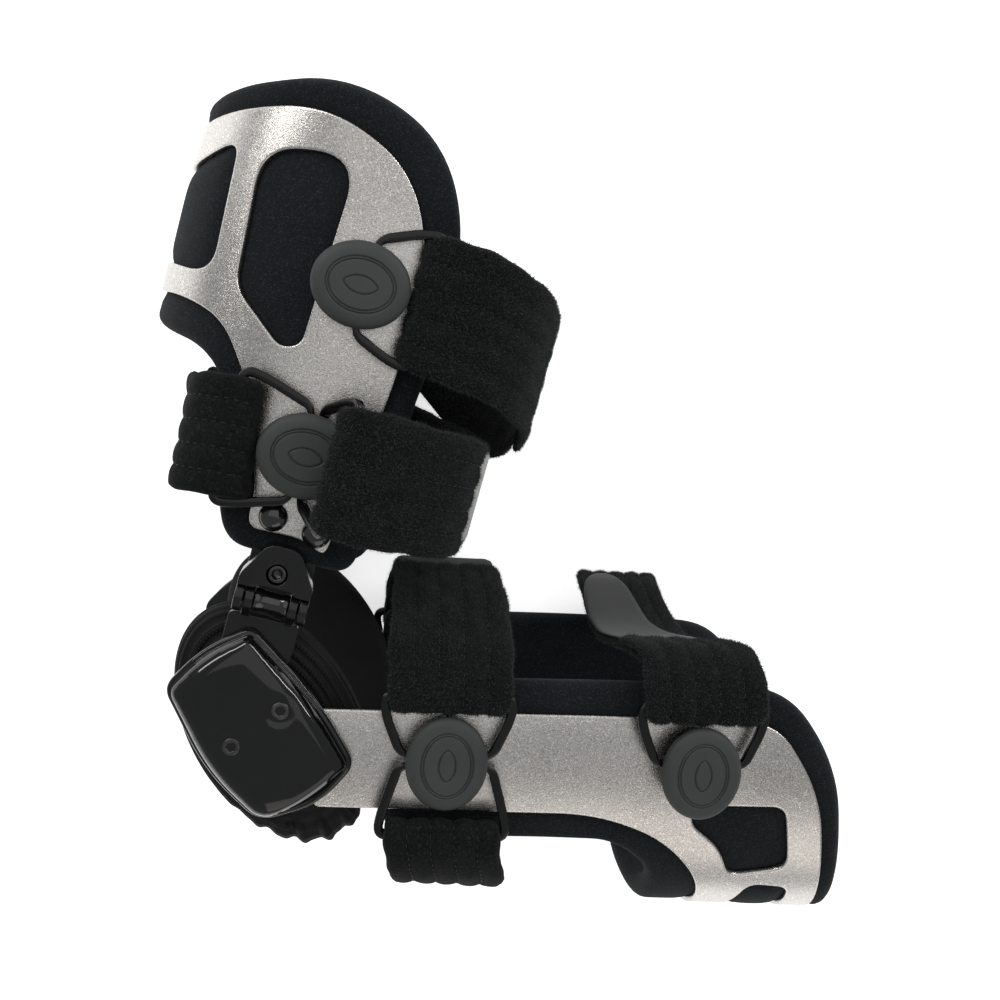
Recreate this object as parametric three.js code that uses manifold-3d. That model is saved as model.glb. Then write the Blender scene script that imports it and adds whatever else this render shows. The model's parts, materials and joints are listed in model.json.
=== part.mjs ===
// A hinged knee brace, bent at the knee and lying on its inner side.
// Every piece is drawn in one straight-leg frame, in millimetres: +X to the back of the leg,
// +Y up the leg, +Z to the outer side, with the knee's centre at the origin.
import * as THREE from "three";
import { mergeVertices } from "three/addons/utils/BufferGeometryUtils.js";
import Module from "manifold-3d";

const wasm = await Module();
wasm.setup();

// How it lies
const FLEXION = 102; // bend of the knee, degrees
const SHIN_TURN = 87; // turn of the lower leg from upright, degrees
const PIVOT_REACH = 12; // from the knee's centre to each of the hinge's two pivots
const HALF_WIDTH = 76; // from the mid-plane to the faces that it lies on

// Walls
const GAP = 0.3;
const FRAME_WALL = 2.2;
const LINER_WALL = 8;
const STRAP_WALL = 2.6;
const TAB_WALL = 1.2;
const SECTION_POWER = 2.4; // how square the cuffs' cross-section is, 2 is an ellipse
const SECTION_SIDES = 28;
const CORNER_STEPS = 2;
const ROUND_SIDES = 8;

// Hinge layers, from the mid-plane outwards
const UPRIGHT_OUT = 64;
const ARM = { from: 61.4, to: 64 };
const PLATE = { from: 57.6, to: 60.6 };
const COVER_FROM = 64.6;
const PLATE_SCALE = 0.84;
const ARM_TOP = 39.4;
const ARM_EYE = 10.5;
const POST_RADIUS = 3.6;
const POST_TO = 64.3;

// Studs and clips
const STUD = { long: 17.2, short: 14.8, post: 6.5, capFrom: 71, rim: 2.4, shoulder: 4.5 };
const STUD_SIDES = 12;
const CLIP_SIDE = 68.8; // mid-plane to the middle of a clip's bar
const CLIP = { thick: 3.4, bar: 4, near: 1, pin: 2.4, pinHalf: 9, nearHalf: 15.2, farHalf: 22, arm: 3 };
const CLIP_PIVOT = CLIP.near + CLIP.pin / 2;
const CLIP_STEPS = 2;
const STRAP_HALF = 20.5;
const FOLD = 4.7; // middle of the strap to the middle of the bar it folds round
const FOLD_STEPS = 5;
const LAP_STEPS = 7;
const LAP_CLOSES = 15; // distance from the bar over which a lap comes down on the layer under it
const STRAP_STEPS = 15;
const TAB_STEPS = 7;
const TIP_ROUND = 0.94;

// Cross-sections of the cuffs: height up the leg, middle, half depth and half width
const THIGH_SECTIONS = [
  { up: 48.5, middle: 6.5, deep: 73, wide: 64 },
  { up: 129.5, middle: 6.5, deep: 74, wide: 64 },
  { up: 179.5, middle: 7, deep: 75, wide: 65 },
  { up: 236.5, middle: 10.5, deep: 73, wide: 67.5 },
];
const SHIN_SECTIONS = [
  { up: -244.5, middle: -4.5, deep: 75, wide: 62 },
  { up: -184.5, middle: -4.5, deep: 74, wide: 63.2 },
  { up: -129.5, middle: -4.5, deep: 72, wide: 64 },
  { up: -32.5, middle: -4.5, deep: 70, wide: 64 },
];

// Side-view outlines: corners with how far the rounding starts from each
const FRONT = -100; // well in front of both cuffs
const THIGH_FRAME_EDGE = [
  { back: FRONT, up: 182.5, round: 0 },
  { back: -58.5, up: 207.5, round: 14 },
  { back: -22.5, up: 217.5, round: 20 },
  { back: 9.5, up: 205, round: 18 },
  { back: 23.5, up: 180.5, round: 16 },
  { back: 25, up: 136.5, round: 20 },
  { back: 16.5, up: 66, round: 4 },
  { back: 6.5, up: 70, round: 4 },
  { back: -13, up: 69.5, round: 5 },
  { back: -13, up: 83.5, round: 6 },
  { back: -27.5, up: 121.5, round: 7 },
  { back: -39.5, up: 137.5, round: 9 },
  { back: -56.5, up: 141.5, round: 8 },
  { back: FRONT, up: 136.5, round: 0 },
];
const THIGH_SIDE_WINDOW = [
  { back: -41, up: 198.5, round: 14 },
  { back: -7.5, up: 203.5, round: 16 },
  { back: -10.6, up: 136, round: 5 },
  { back: -17.5, up: 133.5, round: 5 },
  { back: -38, up: 149.5, round: 6 },
];
const THIGH_FRONT_WINDOW = [
  { back: FRONT, up: 164.5, round: 0 },
  { back: -49.5, up: 199, round: 7 },
  { back: -47.5, up: 151, round: 10 },
  { back: FRONT, up: 152, round: 0 },
];
const THIGH_LINER_EDGE = [
  { back: FRONT, up: 191.5, round: 0 },
  { back: -58.5, up: 217.5, round: 12 },
  { back: -18.5, up: 229.5, round: 24 },
  { back: 19.5, up: 217.5, round: 18 },
  { back: 37.5, up: 186.5, round: 18 },
  { back: 37.5, up: 146.5, round: 20 },
  { back: 28.5, up: 61, round: 8 },
  { back: -20.5, up: 61.5, round: 10 },
  { back: -27.5, up: 76.5, round: 8 },
  { back: -37.5, up: 118.5, round: 6 },
  { back: -48.5, up: 126, round: 8 },
  { back: FRONT, up: 130.5, round: 0 },
];
const THIGH_LINER_INNER_EDGE = [
  ...THIGH_LINER_EDGE.slice(0, 5),
  { back: 43.5, up: 146.5, round: 20 },
  { back: 43, up: 56, round: 12 },
  { back: 27, up: 56, round: 8 },
  { back: 26, up: 61, round: 4 },
  ...THIGH_LINER_EDGE.slice(7),
];
const SHIN_FRAME_EDGE = [
  { back: 12.5, up: -34.5, round: 0 },
  { back: 13.5, up: -142.5, round: 20 },
  { back: 12.5, up: -196.5, round: 12 },
  { back: -14.5, up: -215.5, round: 16 },
  { back: FRONT, up: -231.5, round: 0 },
  { back: FRONT, up: -179, round: 0 },
  { back: -56.5, up: -175.5, round: 12 },
  { back: -35.5, up: -157.5, round: 14 },
  { back: -25, up: -129.5, round: 14 },
  { back: -24.5, up: -34.5, round: 0 },
];
const SHIN_SIDE_WINDOW = [
  { back: -20.5, up: -166.5, round: 4 },
  { back: -20.5, up: -202.5, round: 5 },
  { back: -47.8, up: -208, round: 6 },
  { back: -52.3, up: -185.5, round: 5 },
  { back: -38.5, up: -179, round: 6 },
  { back: -28.5, up: -166.5, round: 4 },
];
const SHIN_FRONT_WINDOW = [
  { back: -56.5, up: -195, round: 5 },
  { back: -58, up: -211.5, round: 5 },
  { back: FRONT, up: -218.5, round: 0 },
  { back: FRONT, up: -184.5, round: 0 },
];
const SHIN_LINER_EDGE = [
  { back: 26, up: -51, round: 5 },
  { back: 27.5, up: -139.5, round: 20 },
  { back: 26.5, up: -200.5, round: 16 },
  { back: -4.5, up: -222.5, round: 20 },
  { back: FRONT, up: -237.5, round: 0 },
  { back: FRONT, up: -155.5, round: 0 },
  { back: -52.5, up: -154.5, round: 10 },
  { back: -38.5, up: -137.5, round: 9 },
  { back: -38, up: -51, round: 6 },
];
const COVER_EDGE = [
  { back: 17.6, up: 28.6, round: 4 },
  { back: 20.6, up: -6, round: 24 },
  { back: 16.8, up: -34.4, round: 5 },
  { back: -2, up: -38.6, round: 16 },
  { back: -23.4, up: -30.4, round: 7 },
  { back: -27, up: -4, round: 24 },
  { back: -20.2, up: 29.6, round: 5 },
  { back: -1, up: 32.8, round: 14 },
];
const COVER_LEVELS = [
  { side: COVER_FROM, scale: 1 },
  { side: 67, scale: 1 },
  { side: 67.4, scale: 0.95 },
  { side: 72.6, scale: 0.94 },
  { side: 75.2, scale: 0.89 },
  { side: HALF_WIDTH, scale: 0.82 },
];
const SCREW = { head: 3.4, shank: 1.6, socket: 1.5, seat: 71.5, top: 74.6 };
const COVER_SCREWS = [
  { name: "back_cover_screw", back: 9, up: -0.3 },
  { name: "front_cover_screw", back: -12.3, up: -0.5 },
];
const SHIN_ARM_EDGE = [
  { back: -9, up: -12, round: 0 },
  { back: 9.5, up: -13, round: 0 },
  { back: 12.5, up: -24, round: 4 },
  { back: 12.5, up: -38.5, round: 0 },
  { back: -24.7, up: -38.5, round: 0 },
  { back: -24.7, up: -25, round: 2 },
  { back: -14, up: -22, round: 4 },
];
const THIGH_ARM_EDGE = [
  { back: -9.5, up: 12, round: 0 },
  { back: 9.5, up: 12, round: 0 },
  { back: 14.5, up: 28, round: 4 },
  { back: 14.5, up: ARM_TOP, round: 2 },
  { back: -11, up: ARM_TOP, round: 2 },
  { back: -11, up: 28, round: 4 },
];

// Clevis between the thigh frame and its hinge arm
const BARREL = { up: 45.8, side: 65, radius: 4.4, waist: 3.8, shoulder: 1.2, pin: 2 };
const BRACKET_BLOCK = [
  { back: -4, up: 65, round: 4 },
  { back: -10.5, up: 54.5, round: 3 },
  { back: -10.5, up: 51.4, round: 0 },
  { back: 15.6, up: 51.4, round: 0 },
  { back: 15.6, up: 54.5, round: 3 },
  { back: 8.6, up: 65, round: 4 },
];
const BRACKET_BASE = { back: [-9, 14.6], up: [53.5, 83], side: [57.4, 60.6] };
const BRACKET_OUT = 70.8;
const EARS = { radius: 6, spans: [[-10.6, -7.4], [12.4, 15.6]] };
const LUGS = { radius: 5.2, spans: [[-7, -3.8], [8.8, 12]] };
const BRACKET_SCREW = { back: 2, up: 57, head: 4, shank: 2.2, seat: 66.6 };
const RIVETS = [
  { name: "front_rivet", back: -4.5, up: 75.5 },
  { name: "back_rivet", back: 11.5, up: 73.5 },
];
const RIVET = { head: 5.2, high: 4.2, shank: 2.2 };

// Studs, up the leg, and the clips on them: which way the bar lies, how far, and its tilt outwards
const STUDS = {
  thigh_upper_stud: { back: 4, up: 161.5 },
  thigh_lower_stud: { back: 1.2, up: 100 },
  shin_upper_stud: { back: -3.5, up: -71.5 },
  shin_lower_stud: { back: -4.5, up: -165.5 },
};
const CLIPS = {
  thigh_upper_clip: { stud: "thigh_upper_stud", way: 1, reach: 23.8, outerTilt: 0 },
  thigh_lower_clip: { stud: "thigh_lower_stud", way: 1, reach: 24.8, outerTilt: 61.7 },
  thigh_front_clip: { stud: "thigh_lower_stud", way: -1, reach: 27.7, outerTilt: 0 },
  calf_upper_clip: { stud: "shin_upper_stud", way: 1, reach: 23.8, outerTilt: 0 },
  calf_front_clip: { stud: "shin_upper_stud", way: -1, reach: 28.5, outerTilt: 0 },
  calf_lower_clip: { stud: "shin_lower_stud", way: 1, reach: 23.8, outerTilt: 0 },
};

// Straps from the outer clip to the inner one: points that the inner layer passes through
const STRAPS = {
  thigh_upper_strap: {
    clip: "thigh_upper_clip",
    lap: { outer: 0.5, inner: 0.3 },
    through: [
      { back: 49.5, up: 159.5, side: 63 },
      { back: 66, up: 154.5, side: 50 },
      { back: 76, up: 147, side: 20 },
      { back: 77.5, up: 135, side: -18 },
      { back: 69, up: 133, side: -48 },
      { back: 52, up: 143, side: -63 },
    ],
  },
  thigh_lower_strap: {
    clip: "thigh_lower_clip",
    lap: { outer: 0.32, inner: 0.3 },
    through: [
      { back: 34, up: 100.5, side: 77 },
      { back: 53, up: 98.5, side: 60 },
      { back: 65, up: 97, side: 26 },
      { back: 66, up: 96.5, side: -14 },
      { back: 57.5, up: 97, side: -45 },
      { back: 41.5, up: 99, side: -62 },
    ],
  },
  thigh_front_strap: {
    clip: "thigh_front_clip",
    lap: { outer: 0.3, inner: 0.3 },
    through: [
      { back: -35.5, up: 96.5, side: 60 },
      { back: -41, up: 94, side: 42 },
      { back: -42.5, up: 93, side: 0 },
      { back: -41, up: 94, side: -42 },
      { back: -35.5, up: 96.5, side: -60 },
    ],
  },
  calf_upper_strap: {
    clip: "calf_upper_clip",
    lap: { outer: 0.55, inner: 0.14 },
    through: [
      { back: 34.5, up: -71.5, side: 58 },
      { back: 45, up: -72.5, side: 34 },
      { back: 49, up: -73.5, side: 2 },
      { back: 50, up: -74.5, side: -32 },
      { back: 41.5, up: -73.5, side: -57 },
    ],
  },
  calf_lower_strap: {
    clip: "calf_lower_clip",
    lap: { outer: 0.2, inner: 0.12 },
    through: [
      { back: 32.5, up: -164.5, side: 56 },
      { back: 34.5, up: -159, side: 42 },
      { back: 30.5, up: -153.5, side: 8 },
      { back: 41.5, up: -151.5, side: -34 },
      { back: 41.5, up: -155, side: -54 },
    ],
  },
  calf_front_strap: {
    clip: "calf_front_clip",
    lap: { outer: 0.3, inner: 0.3 },
    through: [
      { back: -47.5, up: -75.5, side: 57 },
      { back: -58.5, up: -77, side: 38 },
      { back: -64.5, up: -77.5, side: 0 },
      { back: -58.5, up: -77, side: -38 },
      { back: -47.5, up: -75.5, side: -57 },
    ],
  },
};

// Hook tabs on the straps' outer laps: where along the strap they start and end
const TABS = {
  thigh_lower_tab: { strap: "thigh_lower_strap", from: 0.34, to: 0.5, half: 18 },
  calf_upper_tab: { strap: "calf_upper_strap", from: 0.57, to: 0.8, half: 19 },
  calf_lower_tab: { strap: "calf_lower_strap", from: 0.23, to: 0.72, half: 12 },
};

// Oval pads against the knee, the inner one farther back: middles, slimness, lean and profile
const PADS = {
  outer: { back: -1.5, up: -8.7 },
  inner: { back: 10, up: -11.5 },
};
const PAD_SLIM = 0.63;
const PAD_LEAN = 8; // degrees that their tops lean back
const PAD_PROFILE = [
  { radius: 0, side: 42.5 },
  { radius: 37, side: 42.5 },
  { radius: 46.5, side: 44 },
  { radius: 50, side: 46.4 },
  { radius: 47, side: 49 },
  { radius: 39, side: 51.6 },
  { radius: 29, side: 52.8 },
  { radius: 28, side: 57.2 },
  { radius: 0, side: 57.2 },
];
const PAD_SIDES = 20;

const FINISH = {
  frame: { color: 0xb9b6b2, roughness: 0.38, metalness: 1 },
  liner: { color: 0x0b0c0f, roughness: 0.95, metalness: 0 },
  strap: { color: 0x0d0d0f, roughness: 1, metalness: 0 },
  stud: { color: 0x2a2c2d, roughness: 0.6, metalness: 0 },
  clip: { color: 0x111213, roughness: 0.4, metalness: 0 },
  cover: { color: 0x060707, roughness: 0.1, metalness: 0 },
  black: { color: 0x0e0f10, roughness: 0.35, metalness: 0.4 },
  tab: { color: 0x4b504c, roughness: 0.5, metalness: 0 },
};
const materials = Object.fromEntries(
  Object.entries(FINISH).map(([name, look]) => [name, new THREE.MeshStandardMaterial(look)]),
);

// Solids

function solidOf(geometry) {
  const bare = geometry.clone();
  bare.deleteAttribute("normal");
  bare.deleteAttribute("uv");
  const merged = mergeVertices(bare, 1e-3);
  return new wasm.Manifold(
    new wasm.Mesh({
      numProp: 3,
      vertProperties: new Float32Array(merged.attributes.position.array),
      triVerts: new Uint32Array(merged.index.array),
    }),
  );
}

function geometryOf(solid) {
  const mesh = solid.getMesh();
  const geometry = new THREE.BufferGeometry();
  geometry.setAttribute("position", new THREE.BufferAttribute(mesh.vertProperties, 3));
  geometry.setIndex(new THREE.BufferAttribute(mesh.triVerts, 1));
  geometry.computeVertexNormals();
  return geometry;
}

function join(...geometries) {
  return geometryOf(geometries.map(solidOf).reduce((whole, piece) => whole.add(piece)));
}

function cut(geometry, ...tools) {
  return geometryOf(tools.map(solidOf).reduce((whole, tool) => whole.subtract(tool), solidOf(geometry)));
}

// Outline with each corner rounded by a curve that starts that far from it
function outline(rows, scale = 1) {
  const corners = rows.map((row) => new THREE.Vector2(row.back, row.up).multiplyScalar(scale));
  const shape = new THREE.Shape();
  rows.forEach((row, place) => {
    const corner = corners[place];
    const before = corners.at(place - 1);
    const after = corners[(place + 1) % corners.length];
    const near = Math.min(row.round, corner.distanceTo(before) / 2, corner.distanceTo(after) / 2);
    const start = before.clone().sub(corner).setLength(near).add(corner);
    const end = after.clone().sub(corner).setLength(near).add(corner);
    if (place === 0) shape.moveTo(start.x, start.y);
    else shape.lineTo(start.x, start.y);
    if (near > 0) shape.quadraticCurveTo(corner.x, corner.y, end.x, end.y);
  });
  shape.closePath();
  return shape;
}

function slab(shape, from, to, curveSegments = CORNER_STEPS) {
  const options = { depth: to - from, bevelEnabled: false, curveSegments };
  return new THREE.ExtrudeGeometry(shape, options).translate(0, 0, from);
}

function block(back, up, side) {
  const size = [back, up, side].map(([low, high]) => high - low);
  const middle = [back, up, side].map(([low, high]) => (high + low) / 2);
  return new THREE.BoxGeometry(...size).translate(...middle);
}

// Round solid about an axis that points out of the leg's side, from its profile inside to outside
function turned(rows, sides = ROUND_SIDES) {
  const profile = rows.map((row) => new THREE.Vector2(row.radius, row.side));
  return new THREE.LatheGeometry(profile, sides).rotateX(Math.PI / 2);
}

function peg(back, up, radius, from, to) {
  const rows = [
    { radius: 0, side: from },
    { radius, side: from },
    { radius, side: to },
    { radius: 0, side: to },
  ];
  return turned(rows).translate(back, up, 0);
}

// Round solid about the barrel's axis, which runs from front to back
function crossTurned(rows) {
  const profile = rows.map((row) => new THREE.Vector2(row.radius, row.back));
  const solid = new THREE.LatheGeometry(profile, ROUND_SIDES).rotateZ(-Math.PI / 2);
  return solid.translate(0, BARREL.up, BARREL.side);
}

function crossPeg(radius, [from, to]) {
  return crossTurned([
    { radius: 0, back: from },
    { radius, back: from },
    { radius, back: to },
    { radius: 0, back: to },
  ]);
}

// Closed surface through rings of points, round to the first ring again or capped at both ends
function skin(rings, closed) {
  const count = rings[0].length;
  const index = [];
  const joints = closed ? rings.length : rings.length - 1;
  for (let row = 0; row < joints; row++) {
    const here = row * count;
    const beyond = ((row + 1) % rings.length) * count;
    for (let place = 0; place < count; place++) {
      const next = (place + 1) % count;
      index.push(here + place, here + next, beyond + next);
      index.push(here + place, beyond + next, beyond + place);
    }
  }
  const last = (rings.length - 1) * count;
  for (let place = 1; place < count - 1 && !closed; place++) {
    index.push(0, place + 1, place);
    index.push(last, last + place, last + place + 1);
  }
  const geometry = new THREE.BufferGeometry().setFromPoints(rings.flat());
  geometry.setIndex(index);
  geometry.computeVertexNormals();
  return geometry;
}

// Cuffs

const bowed = (value) => Math.sign(value) * Math.abs(value) ** (2 / SECTION_POWER);

function sectionRing(section, inset) {
  return Array.from({ length: SECTION_SIDES }, (_, place) => {
    const angle = (2 * Math.PI * place) / SECTION_SIDES;
    const back = section.middle + (section.deep - inset) * bowed(Math.cos(angle));
    const side = (section.wide - inset) * bowed(Math.sin(angle));
    return new THREE.Vector3(back, section.up, side);
  });
}

// Part of a lofted tube, cut to a side-view edge on each side, with windows right through both
function cuff(sections, inset, wall, edge, windows, innerEdge = edge) {
  const outer = sections.map((section) => sectionRing(section, inset));
  const inner = sections.map((section) => sectionRing(section, inset + wall));
  const tube = solidOf(skin([...inner, ...outer.reverse()], true));
  const far = 2 * HALF_WIDTH;
  const halves = join(slab(outline(edge), -GAP, far), slab(outline(innerEdge), -far, GAP));
  const kept = tube.intersect(solidOf(halves));
  return cut(geometryOf(kept), ...windows.map((rows) => slab(outline(rows), -far, far)));
}

// Distance of a cuff's outer face from the mid-plane, beside a stud or rivet
function faceSide(sections, { back, up }) {
  const place = sections.findIndex((section) => section.up >= up);
  const [below, above] = [sections[place - 1], sections[place]];
  const share = (up - below.up) / (above.up - below.up);
  const [middle, deep, wide] = ["middle", "deep", "wide"].map((size) =>
    THREE.MathUtils.lerp(below[size], above[size], share),
  );
  const bend = Math.abs((back - middle) / deep) ** SECTION_POWER;
  return wide * (1 - bend) ** (1 / SECTION_POWER);
}

const span = [-HALF_WIDTH, HALF_WIDTH];

function thighFrame() {
  const bare = cuff(THIGH_SECTIONS, 0, FRAME_WALL, THIGH_FRAME_EDGE, [THIGH_SIDE_WINDOW, THIGH_FRONT_WINDOW]);
  return cut(bare, ...RIVETS.map(({ back, up }) => peg(back, up, RIVET.shank + GAP, ...span)));
}

function thighLiner() {
  const bare = cuff(THIGH_SECTIONS, FRAME_WALL + GAP, LINER_WALL, THIGH_LINER_EDGE, [], THIGH_LINER_INNER_EDGE);
  const grown = ([low, high]) => [low - 2 * GAP, high + 2 * GAP];
  const { back, up, side } = BRACKET_BASE;
  const outerPocket = block(grown(back), grown(up), [side[0] - GAP, HALF_WIDTH]);
  return cut(bare, outerPocket, outerPocket.clone().rotateX(Math.PI).translate(0, up[0] + up[1], 0));
}

function shinArm(from, to) {
  const eye = peg(0, -PIVOT_REACH, ARM_EYE, from, to);
  return join(slab(outline(SHIN_ARM_EDGE), from, to), eye);
}

function shinFrame() {
  const bare = cuff(SHIN_SECTIONS, 0, FRAME_WALL, SHIN_FRAME_EDGE, [SHIN_SIDE_WINDOW, SHIN_FRONT_WINDOW]);
  const inside = UPRIGHT_OUT - FRAME_WALL;
  const whole = join(bare, shinArm(inside, UPRIGHT_OUT), shinArm(-UPRIGHT_OUT, -inside));
  return cut(whole, peg(0, -PIVOT_REACH, POST_RADIUS + GAP, ...span));
}

const shinLiner = () => cuff(SHIN_SECTIONS, FRAME_WALL + GAP, LINER_WALL, SHIN_LINER_EDGE, []);

// Hinge

function hingeCover() {
  const rim = outline(COVER_EDGE).extractPoints(CORNER_STEPS).shape.slice(0, -1).reverse();
  const level = ({ side, scale }) => rim.map((point) => new THREE.Vector3(point.x * scale, point.y * scale, side));
  const shell = skin(COVER_LEVELS.map(level), false);
  const dimples = COVER_SCREWS.map(({ back, up }) => peg(back, up, SCREW.head + GAP, SCREW.seat, 2 * HALF_WIDTH));
  const holes = COVER_SCREWS.map(({ back, up }) => peg(back, up, SCREW.shank + GAP, 0, HALF_WIDTH));
  return cut(shell, ...dimples, ...holes);
}

function coverScrew() {
  return turned([
    { radius: 0, side: PLATE.from },
    { radius: SCREW.shank, side: PLATE.from },
    { radius: SCREW.shank, side: SCREW.seat + GAP },
    { radius: SCREW.head, side: SCREW.seat + GAP },
    { radius: SCREW.head, side: SCREW.top },
    { radius: SCREW.socket, side: SCREW.top },
    { radius: SCREW.socket, side: SCREW.top - SCREW.socket },
    { radius: 0, side: SCREW.top - SCREW.socket },
  ]);
}

function hingePlate() {
  const plate = slab(outline(COVER_EDGE, PLATE_SCALE), PLATE.from, PLATE.to);
  const posts = [-PIVOT_REACH, PIVOT_REACH].map((up) => peg(0, up, POST_RADIUS, PLATE.from, POST_TO));
  const holes = COVER_SCREWS.map(({ back, up }) => peg(back, up, SCREW.shank + GAP, ...span));
  return cut(join(plate, ...posts), ...holes);
}

function condylePad() {
  const round = turned(PAD_PROFILE, PAD_SIDES).scale(PAD_SLIM, 1, 1);
  return round.rotateZ(-THREE.MathUtils.degToRad(PAD_LEAN));
}

// Clevis above the hinge

function knuckles({ radius, spans }, up, side) {
  return spans.map((across) => join(crossPeg(radius, across), block(across, up, side)));
}

function hingeArm() {
  const plate = slab(outline(THIGH_ARM_EDGE), ARM.from, ARM.to);
  const eye = peg(0, PIVOT_REACH, ARM_EYE, ARM.from, ARM.to);
  const lugs = knuckles(LUGS, [ARM_TOP - GAP, BARREL.up], [ARM.from, BARREL.side]);
  const post = peg(0, PIVOT_REACH, POST_RADIUS + GAP, ...span);
  return cut(join(plate, eye, ...lugs), post, crossPeg(BARREL.pin + GAP, BRACKET_BASE.back.map((end) => 2 * end)));
}

function tiltBracket() {
  const { back, up, side } = BRACKET_BASE;
  const ears = knuckles(EARS, [BARREL.up, up[0] + GAP], [side[1], BARREL.side + EARS.radius]);
  const raised = slab(outline(BRACKET_BLOCK), side[1] - GAP, BRACKET_OUT);
  const whole = join(block(back, up, side), raised, ...ears);
  const { head, shank, seat } = BRACKET_SCREW;
  return cut(
    whole,
    crossPeg(BARREL.pin + GAP, back.map((end) => 2 * end)),
    peg(BRACKET_SCREW.back, BRACKET_SCREW.up, head + GAP, seat, 2 * HALF_WIDTH),
    peg(BRACKET_SCREW.back, BRACKET_SCREW.up, shank + GAP, ...span),
    ...RIVETS.map((rivet) => peg(rivet.back, rivet.up, RIVET.shank + GAP, ...span)),
  );
}

function tiltBarrel() {
  const [front, rear] = [EARS.spans[0][0], EARS.spans[1][1]];
  const [from, to] = [LUGS.spans[0][1] + GAP, LUGS.spans[1][0] - GAP];
  const { radius, pin, shoulder, waist } = BARREL;
  return crossTurned([
    { radius: 0, back: front + GAP },
    { radius: pin, back: front + GAP },
    { radius: pin, back: from },
    { radius, back: from },
    { radius, back: from + shoulder },
    { radius: waist, back: from + 2 * shoulder },
    { radius: waist, back: to - 2 * shoulder },
    { radius, back: to - shoulder },
    { radius, back: to },
    { radius: pin, back: to },
    { radius: pin, back: rear - GAP },
    { radius: 0, back: rear - GAP },
  ]);
}

function bracketScrew() {
  const { head, shank, seat } = BRACKET_SCREW;
  const top = BRACKET_OUT - GAP;
  return turned([
    { radius: 0, side: BRACKET_BASE.side[0] },
    { radius: shank, side: BRACKET_BASE.side[0] },
    { radius: shank, side: seat + GAP },
    { radius: head, side: seat + GAP },
    { radius: head, side: top },
    { radius: shank, side: top },
    { radius: shank, side: top - shank },
    { radius: 0, side: top - shank },
  ]);
}

function rivet(place) {
  const base = faceSide(THIGH_SECTIONS, place) + GAP;
  return turned([
    { radius: 0, side: BRACKET_BASE.side[0] },
    { radius: RIVET.shank, side: BRACKET_BASE.side[0] },
    { radius: RIVET.shank, side: base },
    { radius: RIVET.head, side: base },
    { radius: 0.86 * RIVET.head, side: base + 0.5 * RIVET.high },
    { radius: 0.5 * RIVET.head, side: base + 0.88 * RIVET.high },
    { radius: 0, side: base + RIVET.high },
  ]);
}

// Studs, clips and straps

function stud(base) {
  const { long, short, post, capFrom, rim, shoulder } = STUD;
  const round = turned(
    [
      { radius: 0, side: base },
      { radius: post, side: base },
      { radius: post, side: capFrom },
      { radius: short, side: capFrom },
      { radius: short - GAP, side: capFrom + rim },
      { radius: short - shoulder, side: HALF_WIDTH },
      { radius: 0, side: HALF_WIDTH },
    ],
    STUD_SIDES,
  );
  return round.scale(long / short, 1, 1);
}

// Bail whose pins hook under a stud's cap, with its bar out at the reach
function clip({ way, reach }, tilt) {
  const { thick, bar, near, pin, pinHalf, nearHalf, farHalf, arm } = CLIP;
  const [inside, outside] = [reach - bar / 2, reach + bar / 2];
  const half = [
    { back: outside, up: farHalf + arm, round: 6 },
    { back: near, up: nearHalf + arm, round: 2 },
    { back: near, up: pinHalf, round: 0 },
    { back: near + pin, up: pinHalf, round: 0 },
    { back: near + pin, up: nearHalf, round: 1 },
    { back: inside, up: farHalf, round: 3 },
  ];
  const mirrored = half.map((row) => ({ ...row, up: -row.up })).reverse();
  const flat = slab(outline([...half, ...mirrored]), -thick / 2, thick / 2, CLIP_STEPS);
  const raised = flat.translate(-CLIP_PIVOT, 0, 0).rotateY(-tilt).translate(CLIP_PIVOT, 0, CLIP_SIDE);
  return way > 0 ? raised : raised.rotateZ(Math.PI);
}

const tiltOf = (row, sign) => THREE.MathUtils.degToRad(sign > 0 ? row.outerTilt : 0);

// Middle of a clip's bar, on the outer side (sign 1) or the inner side (sign -1)
function barOf(name, sign) {
  const row = CLIPS[name];
  const held = STUDS[row.stud];
  const arm = row.reach - CLIP_PIVOT;
  const tilt = tiltOf(row, sign);
  const back = held.back + row.way * (CLIP_PIVOT + arm * Math.cos(tilt));
  return new THREE.Vector3(back, held.up, sign * (CLIP_SIDE + arm * Math.sin(tilt)));
}

// Which way is out of the leg, beside a path that runs from the outer bar to the inner one
function outOf(tangent, way) {
  return new THREE.Vector3(-way * tangent.z, 0, way * tangent.x).normalize();
}

function innerLayer(strap) {
  const rows = strap.through.map(({ back, up, side }) => new THREE.Vector3(back, up, side));
  const ends = [1, -1].map((sign) => barOf(strap.clip, sign).add(new THREE.Vector3(0, 0, -sign * FOLD)));
  return new THREE.CatmullRomCurve3([ends[0], ...rows, ends[1]], false, "centripetal");
}

// Lap that comes back from a bar over the inner layer, from the bar to its free end
function lap(layer, way, sign, share) {
  const length = layer.getLength();
  return Array.from({ length: LAP_STEPS }, (_, step) => {
    const along = (share * (step + 1)) / LAP_STEPS;
    const place = sign > 0 ? along : 1 - along;
    const closeness = Math.exp(-(((along * length) / LAP_CLOSES) ** 2));
    const offset = THREE.MathUtils.lerp(STRAP_WALL + GAP, 2 * FOLD, closeness);
    return layer.getPointAt(place).addScaledVector(outOf(layer.getTangentAt(place), way), offset);
  });
}

// Half turn round a bar, from the inner layer to the lap
function fold(bar, way, sign) {
  return Array.from({ length: FOLD_STEPS }, (_, step) => {
    const angle = (Math.PI * step) / (FOLD_STEPS - 1);
    const turn = new THREE.Vector3(-way * Math.sin(angle), 0, -sign * Math.cos(angle));
    return turn.multiplyScalar(FOLD).add(bar);
  });
}

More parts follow.
